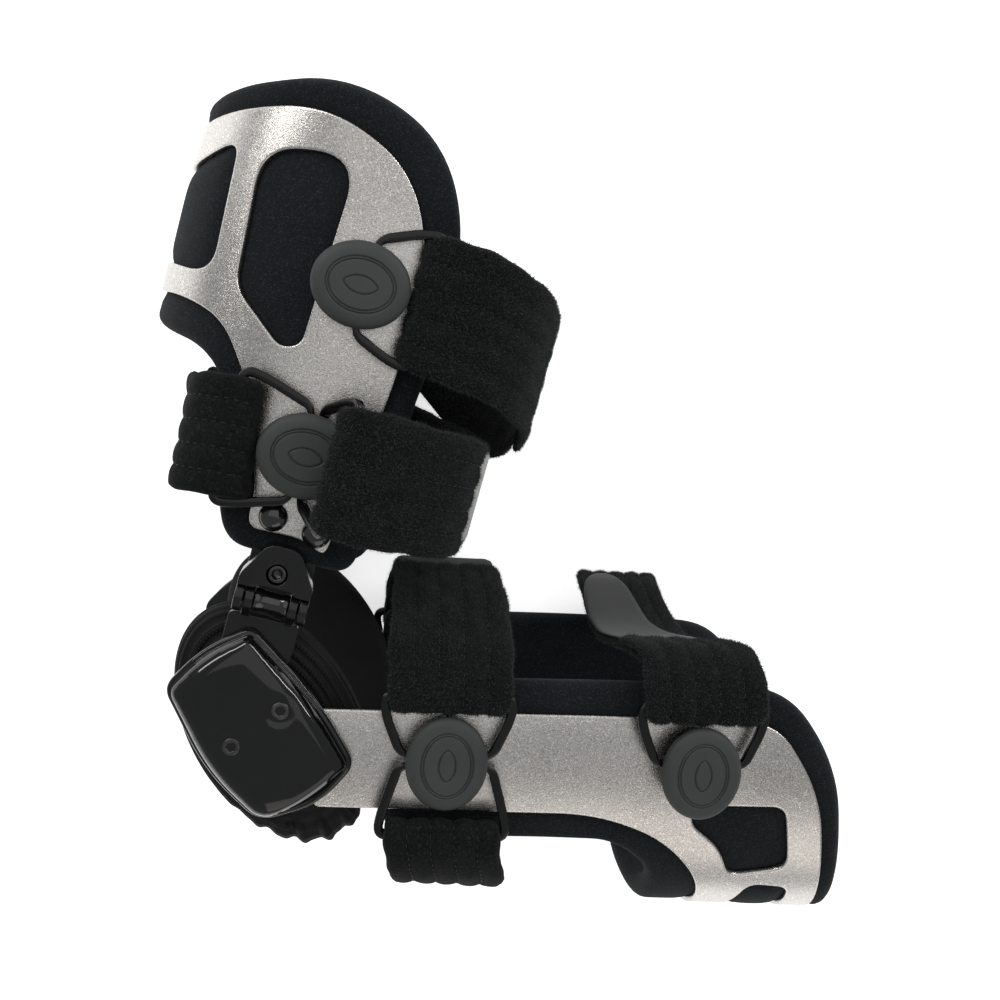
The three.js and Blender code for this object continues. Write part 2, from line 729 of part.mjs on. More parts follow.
// Band along a path, as wide as asked at each point
function band(path, wall, halfAt) {
  const rings = path.map((point, place) => {
    const before = path[Math.max(place - 1, 0)];
    const after = path[Math.min(place + 1, path.length - 1)];
    const tangent = after.clone().sub(before);
    const across = outOf(tangent, 1).multiplyScalar(wall / 2);
    const along = new THREE.Vector3(0, halfAt(place / (path.length - 1)), 0);
    const corner = (out, up) => point.clone().addScaledVector(across, out).addScaledVector(along, up);
    return [corner(1, 1), corner(1, -1), corner(-1, -1), corner(-1, 1)];
  });
  return skin(rings, false);
}

function strapBand(strap) {
  const { way } = CLIPS[strap.clip];
  const layer = innerLayer(strap);
  const [outerBar, innerBar] = [barOf(strap.clip, 1), barOf(strap.clip, -1)];
  const path = [
    ...lap(layer, way, 1, strap.lap.outer).reverse(),
    ...fold(outerBar, way, 1).reverse(),
    ...layer.getSpacedPoints(STRAP_STEPS).slice(1, -1),
    ...fold(innerBar, way, -1),
    ...lap(layer, way, -1, strap.lap.inner),
  ];
  return band(path, STRAP_WALL, () => STRAP_HALF);
}

// Thin tab on a strap's outer face, with a round tip at its far end
function tabBand({ strap, from, to, half }) {
  const layer = innerLayer(STRAPS[strap]);
  const { way } = CLIPS[STRAPS[strap].clip];
  const offset = (STRAP_WALL + TAB_WALL) / 2 + GAP;
  const path = Array.from({ length: TAB_STEPS }, (_, step) => {
    const place = THREE.MathUtils.lerp(from, to, step / (TAB_STEPS - 1));
    return layer.getPointAt(place).addScaledVector(outOf(layer.getTangentAt(place), way), offset);
  });
  return band(path, TAB_WALL, (share) => half * Math.sqrt(1 - TIP_ROUND * share ** 4));
}

// The brace, straight, as three bodies

function piece(name, geometry, finish, parent) {
  const mesh = new THREE.Mesh(geometry, materials[finish]);
  mesh.name = name;
  parent.add(mesh);
  return mesh;
}

function turnAbout(group, up, degrees) {
  const pivot = new THREE.Vector3(0, up, 0);
  group.rotation.z = THREE.MathUtils.degToRad(degrees);
  group.position.copy(pivot).sub(pivot.clone().applyEuler(group.rotation));
}

const shin = new THREE.Group();
const housing = new THREE.Group();
const thigh = new THREE.Group();
shin.rotation.z = THREE.MathUtils.degToRad(SHIN_TURN);
turnAbout(housing, -PIVOT_REACH, -FLEXION / 2);
turnAbout(thigh, PIVOT_REACH, -FLEXION / 2);
shin.add(housing);
housing.add(thigh);

const bodyOf = (name) => (name.startsWith("thigh") ? thigh : shin);
const sectionsOf = (name) => (name.startsWith("thigh") ? THIGH_SECTIONS : SHIN_SECTIONS);

piece("shin_frame", shinFrame(), "frame", shin);
piece("shin_liner", shinLiner(), "liner", shin);
piece("thigh_frame", thighFrame(), "frame", thigh);
piece("thigh_liner", thighLiner(), "liner", thigh);
for (const [name, strap] of Object.entries(STRAPS)) piece(name, strapBand(strap), "strap", bodyOf(name));
for (const [name, tab] of Object.entries(TABS)) piece(name, tabBand(tab), "tab", bodyOf(name));

for (const [side, sign] of [["outer", 1], ["inner", -1]]) {
  const [shinSide, housingSide, thighSide] = [shin, housing, thigh].map((body) => {
    const group = new THREE.Group();
    group.scale.z = sign;
    body.add(group);
    return group;
  });
  const sideOf = (name) => (name.startsWith("thigh") ? thighSide : shinSide);
  for (const [name, place] of Object.entries(STUDS)) {
    const cap = stud(faceSide(sectionsOf(name), place) + GAP);
    piece(`${side}_${name}`, cap, "stud", sideOf(name)).position.set(place.back, place.up, 0);
  }
  for (const [name, row] of Object.entries(CLIPS)) {
    const { back, up } = STUDS[row.stud];
    const bail = clip(row, tiltOf(row, sign));
    piece(`${side}_${name}`, bail, "clip", sideOf(name)).position.set(back, up, 0);
  }
  piece(`${side}_hinge_cover`, hingeCover(), "cover", housingSide);
  piece(`${side}_hinge_plate`, hingePlate(), "black", housingSide);
  const pad = piece(`${side}_condyle_pad`, condylePad(), "liner", housingSide);
  pad.position.set(PADS[side].back, PADS[side].up, 0);
  for (const { name, back, up } of COVER_SCREWS) {
    piece(`${side}_${name}`, coverScrew(), "black", housingSide).position.set(back, up, 0);
  }
  piece(`${side}_hinge_arm`, hingeArm(), "black", thighSide);
  piece(`${side}_tilt_bracket`, tiltBracket(), "black", thighSide);
  piece(`${side}_tilt_barrel`, tiltBarrel(), "cover", thighSide);
  const screw = piece(`${side}_bracket_screw`, bracketScrew(), "black", thighSide);
  screw.position.set(BRACKET_SCREW.back, BRACKET_SCREW.up, 0);
  for (const place of RIVETS) {
    piece(`${side}_${place.name}`, rivet(place), "cover", thighSide).position.set(place.back, place.up, 0);
  }
}

// Set down on its inner side, with the origin under the middle of its box
const brace = new THREE.Group();
const box = new THREE.Box3().setFromObject(shin, true);
const middle = box.getCenter(new THREE.Vector3());
shin.position.set(-middle.x, -middle.y, -box.min.z);
brace.add(shin);

export default brace;
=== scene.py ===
"""Looks of a hinged knee brace: metal cuffs, padded liners, plush straps and black hinge hardware."""

import json
import math
from collections import namedtuple

import bpy
import numpy as np
from mathutils import Matrix, Vector
from mathutils.geometry import delaunay_2d_cdt


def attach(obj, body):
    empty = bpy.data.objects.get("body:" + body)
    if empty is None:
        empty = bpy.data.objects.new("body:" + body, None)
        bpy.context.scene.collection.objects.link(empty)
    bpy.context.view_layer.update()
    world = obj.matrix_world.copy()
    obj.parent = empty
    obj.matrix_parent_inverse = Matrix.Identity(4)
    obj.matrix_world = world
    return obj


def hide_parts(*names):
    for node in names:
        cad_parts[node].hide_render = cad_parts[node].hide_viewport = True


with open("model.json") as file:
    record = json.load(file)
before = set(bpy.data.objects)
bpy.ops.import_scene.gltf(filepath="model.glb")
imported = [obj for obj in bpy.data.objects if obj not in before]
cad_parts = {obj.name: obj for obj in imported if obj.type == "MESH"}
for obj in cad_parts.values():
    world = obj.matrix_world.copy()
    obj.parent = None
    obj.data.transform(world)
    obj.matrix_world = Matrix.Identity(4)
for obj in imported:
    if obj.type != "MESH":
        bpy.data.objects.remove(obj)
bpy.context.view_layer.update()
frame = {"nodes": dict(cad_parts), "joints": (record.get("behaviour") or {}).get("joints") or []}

# Sizes are in millimetres. A limb's own directions are back, up, and side, out from the leg's mid-plane
MM = 0.001
GAP = 0.3
HALF_WIDTH = 76
FRONT = -100

# Cuff sections: up, middle, half depth, half width
THIGH_SECTIONS = [
    (48.5, 6.5, 73, 64), (129.5, 6.5, 74, 64), (179.5, 7, 75, 65), (236.5, 10.5, 73, 67.5),
]
SHIN_SECTIONS = [
    (-244.5, -4.5, 75, 62), (-184.5, -4.5, 74, 63.2), (-129.5, -4.5, 72, 64), (-32.5, -4.5, 70, 64),
]
SECTION_POWER = 2.4
FRAME_WALL = 2.2
FRAME_EDGE = 0.55
LINER_WALL = 8
LINER_ROUND = 4.6
LINER_RISE = 2.6
LINER_RIPPLE = 0.18
RIM_SWELL = 1.6
SIDE_WINDOW_SWELL = 1.1
FRONT_WINDOW_SWELL = 2.3
# Where a liner's rim is fuller: by how much, from what height, and over what run
THIGH_LINER_FULLER = (1.6, 180, 25)
SHIN_LINER_FULLER = (1.4, -190, -20)
# Spacing of the points along the cuffs' edges, and over their sheets
FRAME_PITCH = 1.3
SHEET_PITCH = 3
LINER_PITCH = 1.6
LINER_SHEET_PITCH = 3.2

# Edges in side view: back, up, corner easing
THIGH_FRAME_EDGE = [
    (FRONT, 182.5, 0), (-58.5, 207.5, 14), (-22.5, 217.5, 20), (9.5, 205, 18), (23.5, 180.5, 16),
    (25, 136.5, 20), (16.5, 66, 4), (6.5, 70, 4), (-13, 69.5, 5), (-13, 83.5, 6), (-27.5, 121.5, 7),
    (-39.5, 137.5, 9), (-56.5, 141.5, 8), (FRONT, 136.5, 0),
]
THIGH_SIDE_WINDOW = [
    (-41, 198.5, 14), (-7.5, 203.5, 16), (-10.6, 136, 5), (-17.5, 133.5, 5), (-38, 149.5, 6),
]
THIGH_FRONT_WINDOW = [(FRONT, 164.5, 0), (-49.5, 199, 7), (-47.5, 151, 10), (FRONT, 152, 0)]
THIGH_LINER_EDGE = [
    (FRONT, 191.5, 0), (-58.5, 217.5, 12), (-18.5, 229.5, 24), (19.5, 217.5, 18), (37.5, 186.5, 18),
    (37.5, 146.5, 20), (28.5, 61, 8), (-20.5, 61.5, 10), (-27.5, 76.5, 8), (-37.5, 118.5, 6),
    (-48.5, 126, 8), (FRONT, 130.5, 0),
]
THIGH_LINER_INNER_EDGE = [
    *THIGH_LINER_EDGE[:5], (43.5, 146.5, 20), (42, 58, 14), (36, 46, 8), (25, 46, 6), (25, 61, 4),
    *THIGH_LINER_EDGE[7:],
]
SHIN_FRAME_EDGE = [
    (10.5, -1.5, 10), (10.5, -14, 2), (12.5, -24, 4), (13.5, -142.5, 20), (12.5, -196.5, 12),
    (-14.5, -215.5, 16), (FRONT, -231.5, 0), (FRONT, -179, 0), (-56.5, -175.5, 12), (-35.5, -157.5, 14),
    (-25, -129.5, 14), (-24.6, -25, 2), (-14, -22, 4), (-10.5, -12, 2), (-10.5, -1.5, 10),
]
SHIN_SIDE_WINDOW = [
    (-20.5, -166.5, 4), (-20.5, -202.5, 5), (-47.8, -208, 6), (-52.3, -185.5, 5), (-38.5, -179, 6),
    (-28.5, -166.5, 4),
]
SHIN_FRONT_WINDOW = [(-56.5, -195, 5), (-58, -211.5, 5), (FRONT, -218.5, 0), (FRONT, -184.5, 0)]
SHIN_LINER_EDGE = [
    (26, -51, 5), (27.5, -139.5, 20), (26.5, -200.5, 16), (-4.5, -222.5, 20), (FRONT, -237.5, 0),
    (FRONT, -155.5, 0), (-52.5, -154.5, 10), (-38.5, -137.5, 9), (-38, -51, 6),
]

# Hinge
COVER_EDGE = [
    (17.6, 28.6, 4), (20.6, -6, 24), (16.8, -34.4, 5), (-2, -38.6, 16), (-23.4, -30.4, 7),
    (-27, -4, 24), (-20.2, 29.6, 5), (-1, 32.8, 14),
]
# The cover's stepped edge: how far in from its outline, and side
COVER_STEPS = [
    (0.5, 64.6), (0, 65.1), (0, 66.6), (0.3, 67.2), (0.8, 67.5), (1.5, 67.55), (1.8, 67.8), (1.9, 68.4),
    (2, 70.4),
]
COVER_PITCH = 1.1
COVER_INSET = 2.1
COVER_RIM = 71.2
COVER_BEVEL = 3.1
COVER_BEVEL_RUN = 1.8
COVER_CROWN = 1.7
COVER_CROWN_RUN = 4
COVER_CROWN_MIDDLE = (-3, -3)
COVER_CROWN_HALVES = (23, 35)
COVER_CREASE = -30.3
COVER_SLOPE = 0.8
COVER_SCREWS = [(9, -0.3), (-12.3, -0.5)]
DISH_DEEP = 0.55
DISH_RADIUS = 5.4
DISH_EASE = 0.7
SCREW_TOP = 75.5
# Screw heads: radius, depth and half width of the hexagon socket
COVER_SCREW_HEAD = (3.3, 2.6, 1.5)
BRACKET_SCREW_HEAD = (3.4, 2.6, 1.7)
# The pad's half section: radius, side, easing
PAD_PROFILE = [
    (0.4, 57.2, 0), (27.4, 57.2, 1.5), (28.2, 53, 1.2), (38, 52.4, 8), (47, 50.8, 6), (50, 46.4, 6),
    (46.5, 43.3, 5), (37, 42.5, 6), (0.4, 42.5, 0),
]
# The pad's upper face starts at one side, its ribbed binding at one radius and its gathers at another
PAD_TOPSIDE = 45
PAD_CORD_SIDE = 50
PAD_BINDING = 44.8
PAD_GATHERED = 37.5
PAD_PLEATS = 19
PAD_SEWN_DEGREES = (-62, 242)
PAD_TOP_LENGTH = 60
PAD_RIB = 0.7
PAD_RIB_PITCH = 2.4
PAD_CORD = 0.8
PAD_CORD_HALF = 1.5
PAD_GATHER = 0.95
# Stitches: pitch, length and thickness
PAD_STITCHES = (1.5, 0.9, 0.5)
PAD_SLIM = 0.63
PAD_LEAN = 8
PAD_PLACES = {1: (-1.5, -8.7), -1: (10, -11.5)}
PAD_BANDS = (33, 37.4, 42.6)
ARM_FACES = (61.4, 64)
ARM_BEVEL = 0.5
ARM_EDGE = [
    (10.5, 1.5, 10), (10.5, 14, 3), (14.5, 28, 4), (14.5, 39.4, 2), (-11, 39.4, 2), (-11, 28, 4),
    (-10.5, 14, 3), (-10.5, 1.5, 10),
]
BARREL_UP = 45.8
BARREL_SIDE = 65
BARREL_ENDS = (-3.5, 8.5)
BARREL_RADIUS = 4.4
BARREL_WAIST = 3.8
LUG_SPANS = [(-7, -3.8), (8.8, 12)]
EAR_SPANS = [(-10.6, -7.4), (12.4, 15.6)]
LUG_RADIUS = 5.2
EAR_RADIUS = 6
# Feet of the knuckles: up, side
LUG_FOOT = [(39.2, 66.5), (38.8, 61.6), (44.3, 61.6)]
EAR_FOOT = [(53.6, 60.6), (54.5, 69.5)]
PIN_ENDS = (-10.3, 15.3)
PIN_RADIUS = 2
BRACKET_EDGE = [
    (-3.5, 67, 5), (-7, 60.5, 3), (-10.6, 54.5, 2), (-10.6, 50.6, 0.6), (-5, 50.6, 0.6), (-3.2, 52, 2),
    (8.2, 52, 2), (10, 50.6, 0.6), (15.6, 50.6, 0.6), (15.6, 54.5, 2), (11.8, 60.5, 3), (8.3, 67, 5),
]
BRACKET_FACES = (60.4, 70.8)
BRACKET_BEVEL = 0.9
BRACKET_BASE = [(-9, 53.5), (14.6, 53.5), (14.6, 83), (-9, 83)]
BRACKET_BASE_FACES = (57.4, 60.6)
BRACKET_SCREW = (2, 57)
BRACKET_SCREW_TOP = 69.9
BRACKET_BORE = [(3.7, 67.6), (3.7, 90)]
RIVETS = [(-4.5, 75.5), (11.5, 73.5)]
RIVET_HEAD = 5.2
RIVET_HIGH = 4.2
RIVET_COLLAR = 0.5

# Strap studs, clips and straps
STUD_LONG = 17.2
STUD_SHORT = 14.8
STUD_CAP = 71
STUD_ROUND = 2.9
STUD_FLAT = 0.66
STUD_POST = 0.44
# Half sizes of the lines drawn on a stud's cap, and the lines' depth and half width
STUD_OVALS = [(12, 9.4), (11.1, 8.5)]
STUD_LENS = (6, 3)
STUD_LINE_DEEP = 0.6
STUD_LINE_HALF = 0.25
STUDS = {
    "thigh_upper": (4, 161.5),
    "thigh_lower": (1.2, 100),
    "shin_upper": (-3.5, -71.5),
    "shin_lower": (-4.5, -165.5),
}
CLIP_SIDE = 68.8
CLIP_PIVOT = 2.2
CLIP_THICK = 3
CLIP_WIDE = 3.3
CLIP_HOOK_WIDE = 2.4
# Clips: the way is back 1 or front -1, and the tilt is on the outer side, in degrees
Clip = namedtuple("Clip", "stud way reach tilt")
CLIPS = {
    "thigh_upper": Clip("thigh_upper", 1, 23.8, 0),
    "thigh_lower": Clip("thigh_lower", 1, 24.8, 61.7),
    "thigh_front": Clip("thigh_lower", -1, 27.7, 0),
    "calf_upper": Clip("shin_upper", 1, 23.8, 0),
    "calf_front": Clip("shin_upper", -1, 28.5, 0),
    "calf_lower": Clip("shin_lower", 1, 23.8, 0),
}
STRAP_WALL = 2.6
STRAP_FOLD = 4.7
STRAP_FOLD_HALF = 20.6
STRAP_RIBS = 5
STRAP_COLUMNS = 51
STRAP_PITCH = 1.7
STRAP_RIB = 1.05
STRAP_VALLEY = 0.2
STRAP_WAVE = 0.14
STRAP_END = 5
STRAP_END_NARROWS = 2.2
UNDER_PILE = 0.45
PILE_FADE = 6
# Stitches: pitch, length and thickness
STRAP_STITCHES = (3.4, 2.2, 0.4)
STRAP_FLOOR = -75.7
LAP_CLOSES = 15
FIBRE_DENSITY = 2.2
FIBRE_LONG = 1.2
FIBRE_THICK = 0.11
FIBRE_LEAN = 0.7
# Straps: the laps are shares of the length; the middle is drawn back, its upper edge more than its lower
# one by the skew; the outer fold is loose at its middle, and its upper edge more by the loose skew
Strap = namedtuple("Strap", "lap_half far_half outer_lap inner_lap drawn skew loose loose_skew points")
STRAPS = {
    "thigh_upper": Strap(24.4, 24.4, 0.5, 0.3, 0, 0, 0, 0, [
        (49.5, 159.5, 63), (66, 154.5, 50), (76, 147, 20), (77.5, 135, -18), (69, 133, -48),
        (52, 143, -63)]),
    "thigh_lower": Strap(23, 20, 0.32, 0.3, 0, 0, 0, 0, [
        (34, 99, 77), (53, 98, 60), (65, 97, 26), (66, 96.5, -14), (57.5, 97, -45), (41.5, 99, -62)]),
    "thigh_front": Strap(21, 20.4, 0.3, 0.3, 1.9, -4.2, 4.5, -3, [
        (-35.5, 97.5, 60), (-41, 95, 42), (-42.5, 94, 0), (-41, 94, -42), (-35.5, 96.5, -60)]),
    "calf_upper": Strap(22.6, 20.4, 0.55, 0.14, 0, 0, 0, 0, [
        (34.5, -71.5, 58), (45, -72.5, 34), (49, -73.5, 2), (50, -74.5, -32), (41.5, -73.5, -57)]),
    "calf_lower": Strap(23, 17.7, 0.2, 0.12, 0, 0, 0, 0, [
        (32.5, -164.5, 56), (34.5, -159, 42), (32, -153.5, 8), (44.5, -151.5, -34), (43, -155, -54)]),
    "calf_front": Strap(21.4, 21.4, 0.3, 0.3, 0.4, 2, 0, 0, [
        (-47.5, -75.5, 57), (-58.5, -77, 38), (-64.5, -77.5, 0), (-58.5, -77, -38),
        (-47.5, -75.5, -57)]),
}
# Tabs: start and end are shares of the strap's layer, and raised is how far up the tongue lies
Tab = namedtuple("Tab", "start end root_half half squareness raised")
TABS = {
    "thigh_lower": Tab(0.335, 0.5, 18, 18, 9, 0),
    "calf_upper": Tab(0.565, 0.8, 19.6, 19.6, 14, 0),
    "calf_lower": Tab(0.215, 0.72, 19.5, 12, 5, 7),
}
TAB_WALL = 1.2
TAB_LIFT = 0.35
TAB_ROOT = 0.35

# The limbs' frames, from the two hinge pivots
joints = {joint["name"]: joint for joint in frame["joints"]}
lower_pivot = np.array(joints["lower_pivot"]["pos_m"]) / MM
upper_pivot = np.array(joints["upper_pivot"]["pos_m"]) / MM
knee = (lower_pivot + upper_pivot) / 2
bend = math.radians(joints["lower_pivot"]["range_deg"][1])
reach = np.linalg.norm(upper_pivot - lower_pivot) / 2
lean = math.atan2(lower_pivot[0] - upper_pivot[0], upper_pivot[1] - lower_pivot[1])
LIMBS = {
    "shin": (lower_pivot, lean + bend, -reach),
    "housing": (knee, lean, 0),
    "thigh": (upper_pivot, lean - bend, reach),
}
SIDES = {"outer": 1, "inner": -1}


def placed(limb, points):
    """Points of a limb's own frame, in metres where the frame has them."""
    pivot, turn, pivot_up = LIMBS[limb]
    back, up, side = (np.asarray(points, float) - (0, pivot_up, 0)).T
    across = back * math.cos(turn) - up * math.sin(turn)
    high = back * math.sin(turn) + up * math.cos(turn)
    return (np.column_stack([across, high, side]) + pivot) * MM


def limb_of(name):
    return "thigh" if name.startswith("thigh") else "shin"


# Flat outlines


def rounded(rows, closed=True, steps=8):
    """Points along an outline of (x, y, easing) rows, with its corners eased by short curves."""
    corners = np.array(rows, float)[:, :2]
    points = []
    for place, corner in enumerate(corners):
        to_last = corners[place - 1] - corner
        to_next = corners[(place + 1) % len(corners)] - corner
        last, following = np.linalg.norm(to_last), np.linalg.norm(to_next)
        near = min(rows[place][2], last / 2, following / 2)
        if near == 0 or (not closed and place in (0, len(corners) - 1)):
            points.append(corner)
            continue
        share = np.linspace(0, 1, steps + 1)[:, None]
        start = corner + to_last * near / last
        end = corner + to_next * near / following
        points.extend((1 - share) ** 2 * start + 2 * share * (1 - share) * corner + share**2 * end)
    points = np.array(points)
    moved = np.linalg.norm(points - np.roll(points, 1, axis=0), axis=1) > 1e-6
    return points[moved]


def lengths_along(points):
    return np.append(0, np.cumsum(np.linalg.norm(np.diff(points, axis=0), axis=1)))


def respaced(points, pitch):
    """An open line of points, spaced evenly by about a pitch."""
    along = lengths_along(points)
    count = max(int(round(along[-1] / pitch)), 2)
    places = np.linspace(0, along[-1], count + 1)
    return np.column_stack([np.interp(places, along, column) for column in points.T])


def respaced_loop(points, pitch):
    """A closed loop of points, spaced evenly by about a pitch."""
    return respaced(np.vstack([points, points[:1]]), pitch)[:-1]


def signed_area(loop):
    following = np.roll(loop, -1, axis=0)
    return (loop[:, 0] * following[:, 1] - following[:, 0] * loop[:, 1]).sum() / 2


def left_about(loop):
    """A loop run with its inside on its left."""
    return loop if signed_area(loop) > 0 else loop[::-1]


def unit(rows):
    return rows / np.linalg.norm(rows, axis=1, keepdims=True)


def within(points, loop):
    """Which points are inside a closed loop."""
    x, y = points[:, :1], points[:, 1:]
    x1, y1 = loop.T
    x2, y2 = np.roll(loop, -1, axis=0).T
    spans = (y1 > y) != (y2 > y)
    rise = np.where(y2 == y1, 1, y2 - y1)
    return (spans & (x < (x2 - x1) * (y - y1) / rise + x1)).sum(axis=1) % 2 == 1


def between(points, loops):
    """Which points are inside the first loop and outside the others."""
    kept = within(points, loops[0])
    for hole in loops[1:]:
        kept &= ~within(points, hole)
    return kept


def distance_to(points, loops):
    """Distance of each point from the nearest of some closed loops."""
    nearest = np.full(len(points), np.inf)
    for loop in loops:
        along = np.roll(loop, -1, axis=0) - loop
        away = points[:, None, :] - loop[None]
        share = np.clip((away * along).sum(axis=2) / np.maximum((along**2).sum(axis=1), 1e-12), 0, 1)
        off = np.linalg.norm(away - share[..., None] * along, axis=2)
        nearest = np.minimum(nearest, off.min(axis=1))
    return nearest


def inward(loop):
    """Unit vectors to the left of a loop, at its points."""
    along = np.roll(loop, -1, axis=0) - np.roll(loop, 1, axis=0)
    return unit(np.column_stack([-along[:, 1], along[:, 0]]))


def sheet(loops, pitch):
    """Even triangles inside the first loop and outside the others; the loops' points come first."""
    rim = np.vstack(loops)
    edges = []
    for loop in loops:
        first = len(edges)
        edges += [(first + step, first + (step + 1) % len(loop)) for step in range(len(loop))]
    low, high = loops[0].min(axis=0), loops[0].max(axis=0)
    rows = np.arange(low[1], high[1], 0.866 * pitch)
    places = np.arange(low[0], high[0], pitch)
    grid = np.array([(place + row % 2 * pitch / 2, up) for row, up in enumerate(rows) for place in places])
    grid = grid[between(grid, loops)]
    grid = grid[distance_to(grid, loops) > 0.6 * pitch]
    points = np.vstack([rim, grid])
    result = delaunay_2d_cdt([Vector(point) for point in points], edges, [], 0, 1e-7)
    flat = np.array(result[0])
    triangles = np.array(result[2])
    return flat, triangles[between(flat[triangles].mean(axis=1), loops)]


# Meshes


def linked(name, data):
    """A new object in the scene."""
    piece = bpy.data.objects.new(name, data)
    bpy.context.collection.objects.link(piece)
    return piece


def make(name, limb, points, faces, look, side=1, uv=None):
    """An object from points in a limb's own frame; side -1 turns it over to the inner side."""
    if side < 0:
        faces = [face[::-1] for face in faces]
    mesh = bpy.data.meshes.new(name)
    mesh.from_pydata(placed(limb, np.asarray(points) * (1, 1, side)).tolist(), [], faces)
    mesh.materials.append(look)
    mesh.shade_smooth()
    if uv is not None:
        corners = np.empty(len(mesh.loops), int)
        mesh.loops.foreach_get("vertex_index", corners)
        layer = mesh.uv_layers.new(name="UVMap")
        layer.uv.foreach_set("vector", (uv * MM)[corners].ravel().astype(np.float32))
    return linked(name, mesh)


def marked(piece, name, values):
    """A number for each point of a piece, for its material or its fibres to read."""
    layer = piece.data.attributes.new(name, "FLOAT", "POINT")
    layer.data.foreach_set("value", np.asarray(values, np.float32))
    return piece


def baked(piece):
    """A piece with its modifiers turned into plain mesh."""
    graph = bpy.context.evaluated_depsgraph_get()
    shaped = piece.evaluated_get(graph)
    mesh = bpy.data.meshes.new_from_object(shaped, preserve_all_data_layers=True, depsgraph=graph)
    raw = piece.data
    piece.modifiers.clear()
    piece.data = mesh
    bpy.data.meshes.remove(raw)
    mesh.name = piece.name
    return piece


def eased(piece, width, segments=3, angle=38):
    """A piece with its sharp edges bevelled and its flats left flat."""
    bevel = piece.modifiers.new("eased edges", "BEVEL")
    bevel.width = width * MM
    bevel.segments = segments
    bevel.limit_method = "ANGLE"
    bevel.angle_limit = math.radians(angle)
    bevel.harden_normals = True
    return baked(piece)


def stands_for(piece, body, slot, *nodes):
    """A finished piece rides on its body in place of its nodes."""
    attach(piece, body)
    if nodes:
        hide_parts(*nodes)
    return piece


def lofted(rings, capped=True):
    """Points and faces of a skin over rings of equal count."""
    count = len(rings[0])
    faces = []
    for row in range(len(rings) - 1):
        for place in range(count):
            following = (place + 1) % count
            base, above = row * count, (row + 1) * count
            faces.append([base + place, base + following, above + following, above + place])
    if capped:
        faces.append(list(range(count))[::-1])
        faces.append(list(range((len(rings) - 1) * count, len(rings) * count)))
    return np.vstack(rings), faces


def joined(*shells):
    """Several shells as one list of points and faces."""
    points, faces, start = [], [], 0
    for shell_points, shell_faces in shells:
        points.append(shell_points)
        faces += [[start + corner for corner in face] for face in shell_faces]
        start += len(shell_points)
    return np.vstack(points), faces


def slab(rim, low, high):
    """A flat plate from its outline, between two distances from the mid-plane."""
    rim = left_about(rim)
    return lofted([np.column_stack([rim, np.full(len(rim), side)]) for side in (low, high)])


def turned(profile, back=0, up=0, sides=40):
    """A round piece about a line out of the leg, from (radius, side) rows."""
    angle = np.linspace(0, 2 * math.pi, sides, endpoint=False)
    rings = []
    for radius, side in profile:
        ring = np.column_stack([back + radius * np.cos(angle), up + radius * np.sin(angle)])
        rings.append(np.column_stack([ring, np.full(sides, side)]))
    return lofted(rings)


def cross_turned(profile, up, side):
    """A round piece about a line along the back direction, from (radius, back) rows."""
    points, faces = turned(profile, up, side)
    return points[:, [2, 0, 1]], faces


# Shader groups and materials


def add(tree, kind, inputs=None, **settings):
    """A node with its settings, and its inputs linked or set."""
    node = tree.nodes.new(kind)
    for name, value in settings.items():
        setattr(node, name, value)
    for name, value in (inputs or {}).items():
        if isinstance(value, bpy.types.NodeSocket):
            tree.links.new(value, node.inputs[name])
        else:
            node.inputs[name].default_value = value
    return node


FLOAT = "NodeSocketFloat"
COLOUR = "NodeSocketColor"
SHAPE = "NodeSocketGeometry"
LOOK = "NodeSocketMaterial"


def group(name, kind, takes, gives):
    """A node group with named inputs and outputs, and its two end nodes."""
    tree = bpy.data.node_groups.new(name, kind)
    for title, socket, value in takes:
        made = tree.interface.new_socket(title, in_out="INPUT", socket_type=socket)
        if value is not None:
            made.default_value = value
    for title, socket in gives:
        tree.interface.new_socket(title, in_out="OUTPUT", socket_type=socket)
    return tree, tree.nodes.new("NodeGroupInput").outputs, tree.nodes.new("NodeGroupOutput").inputs


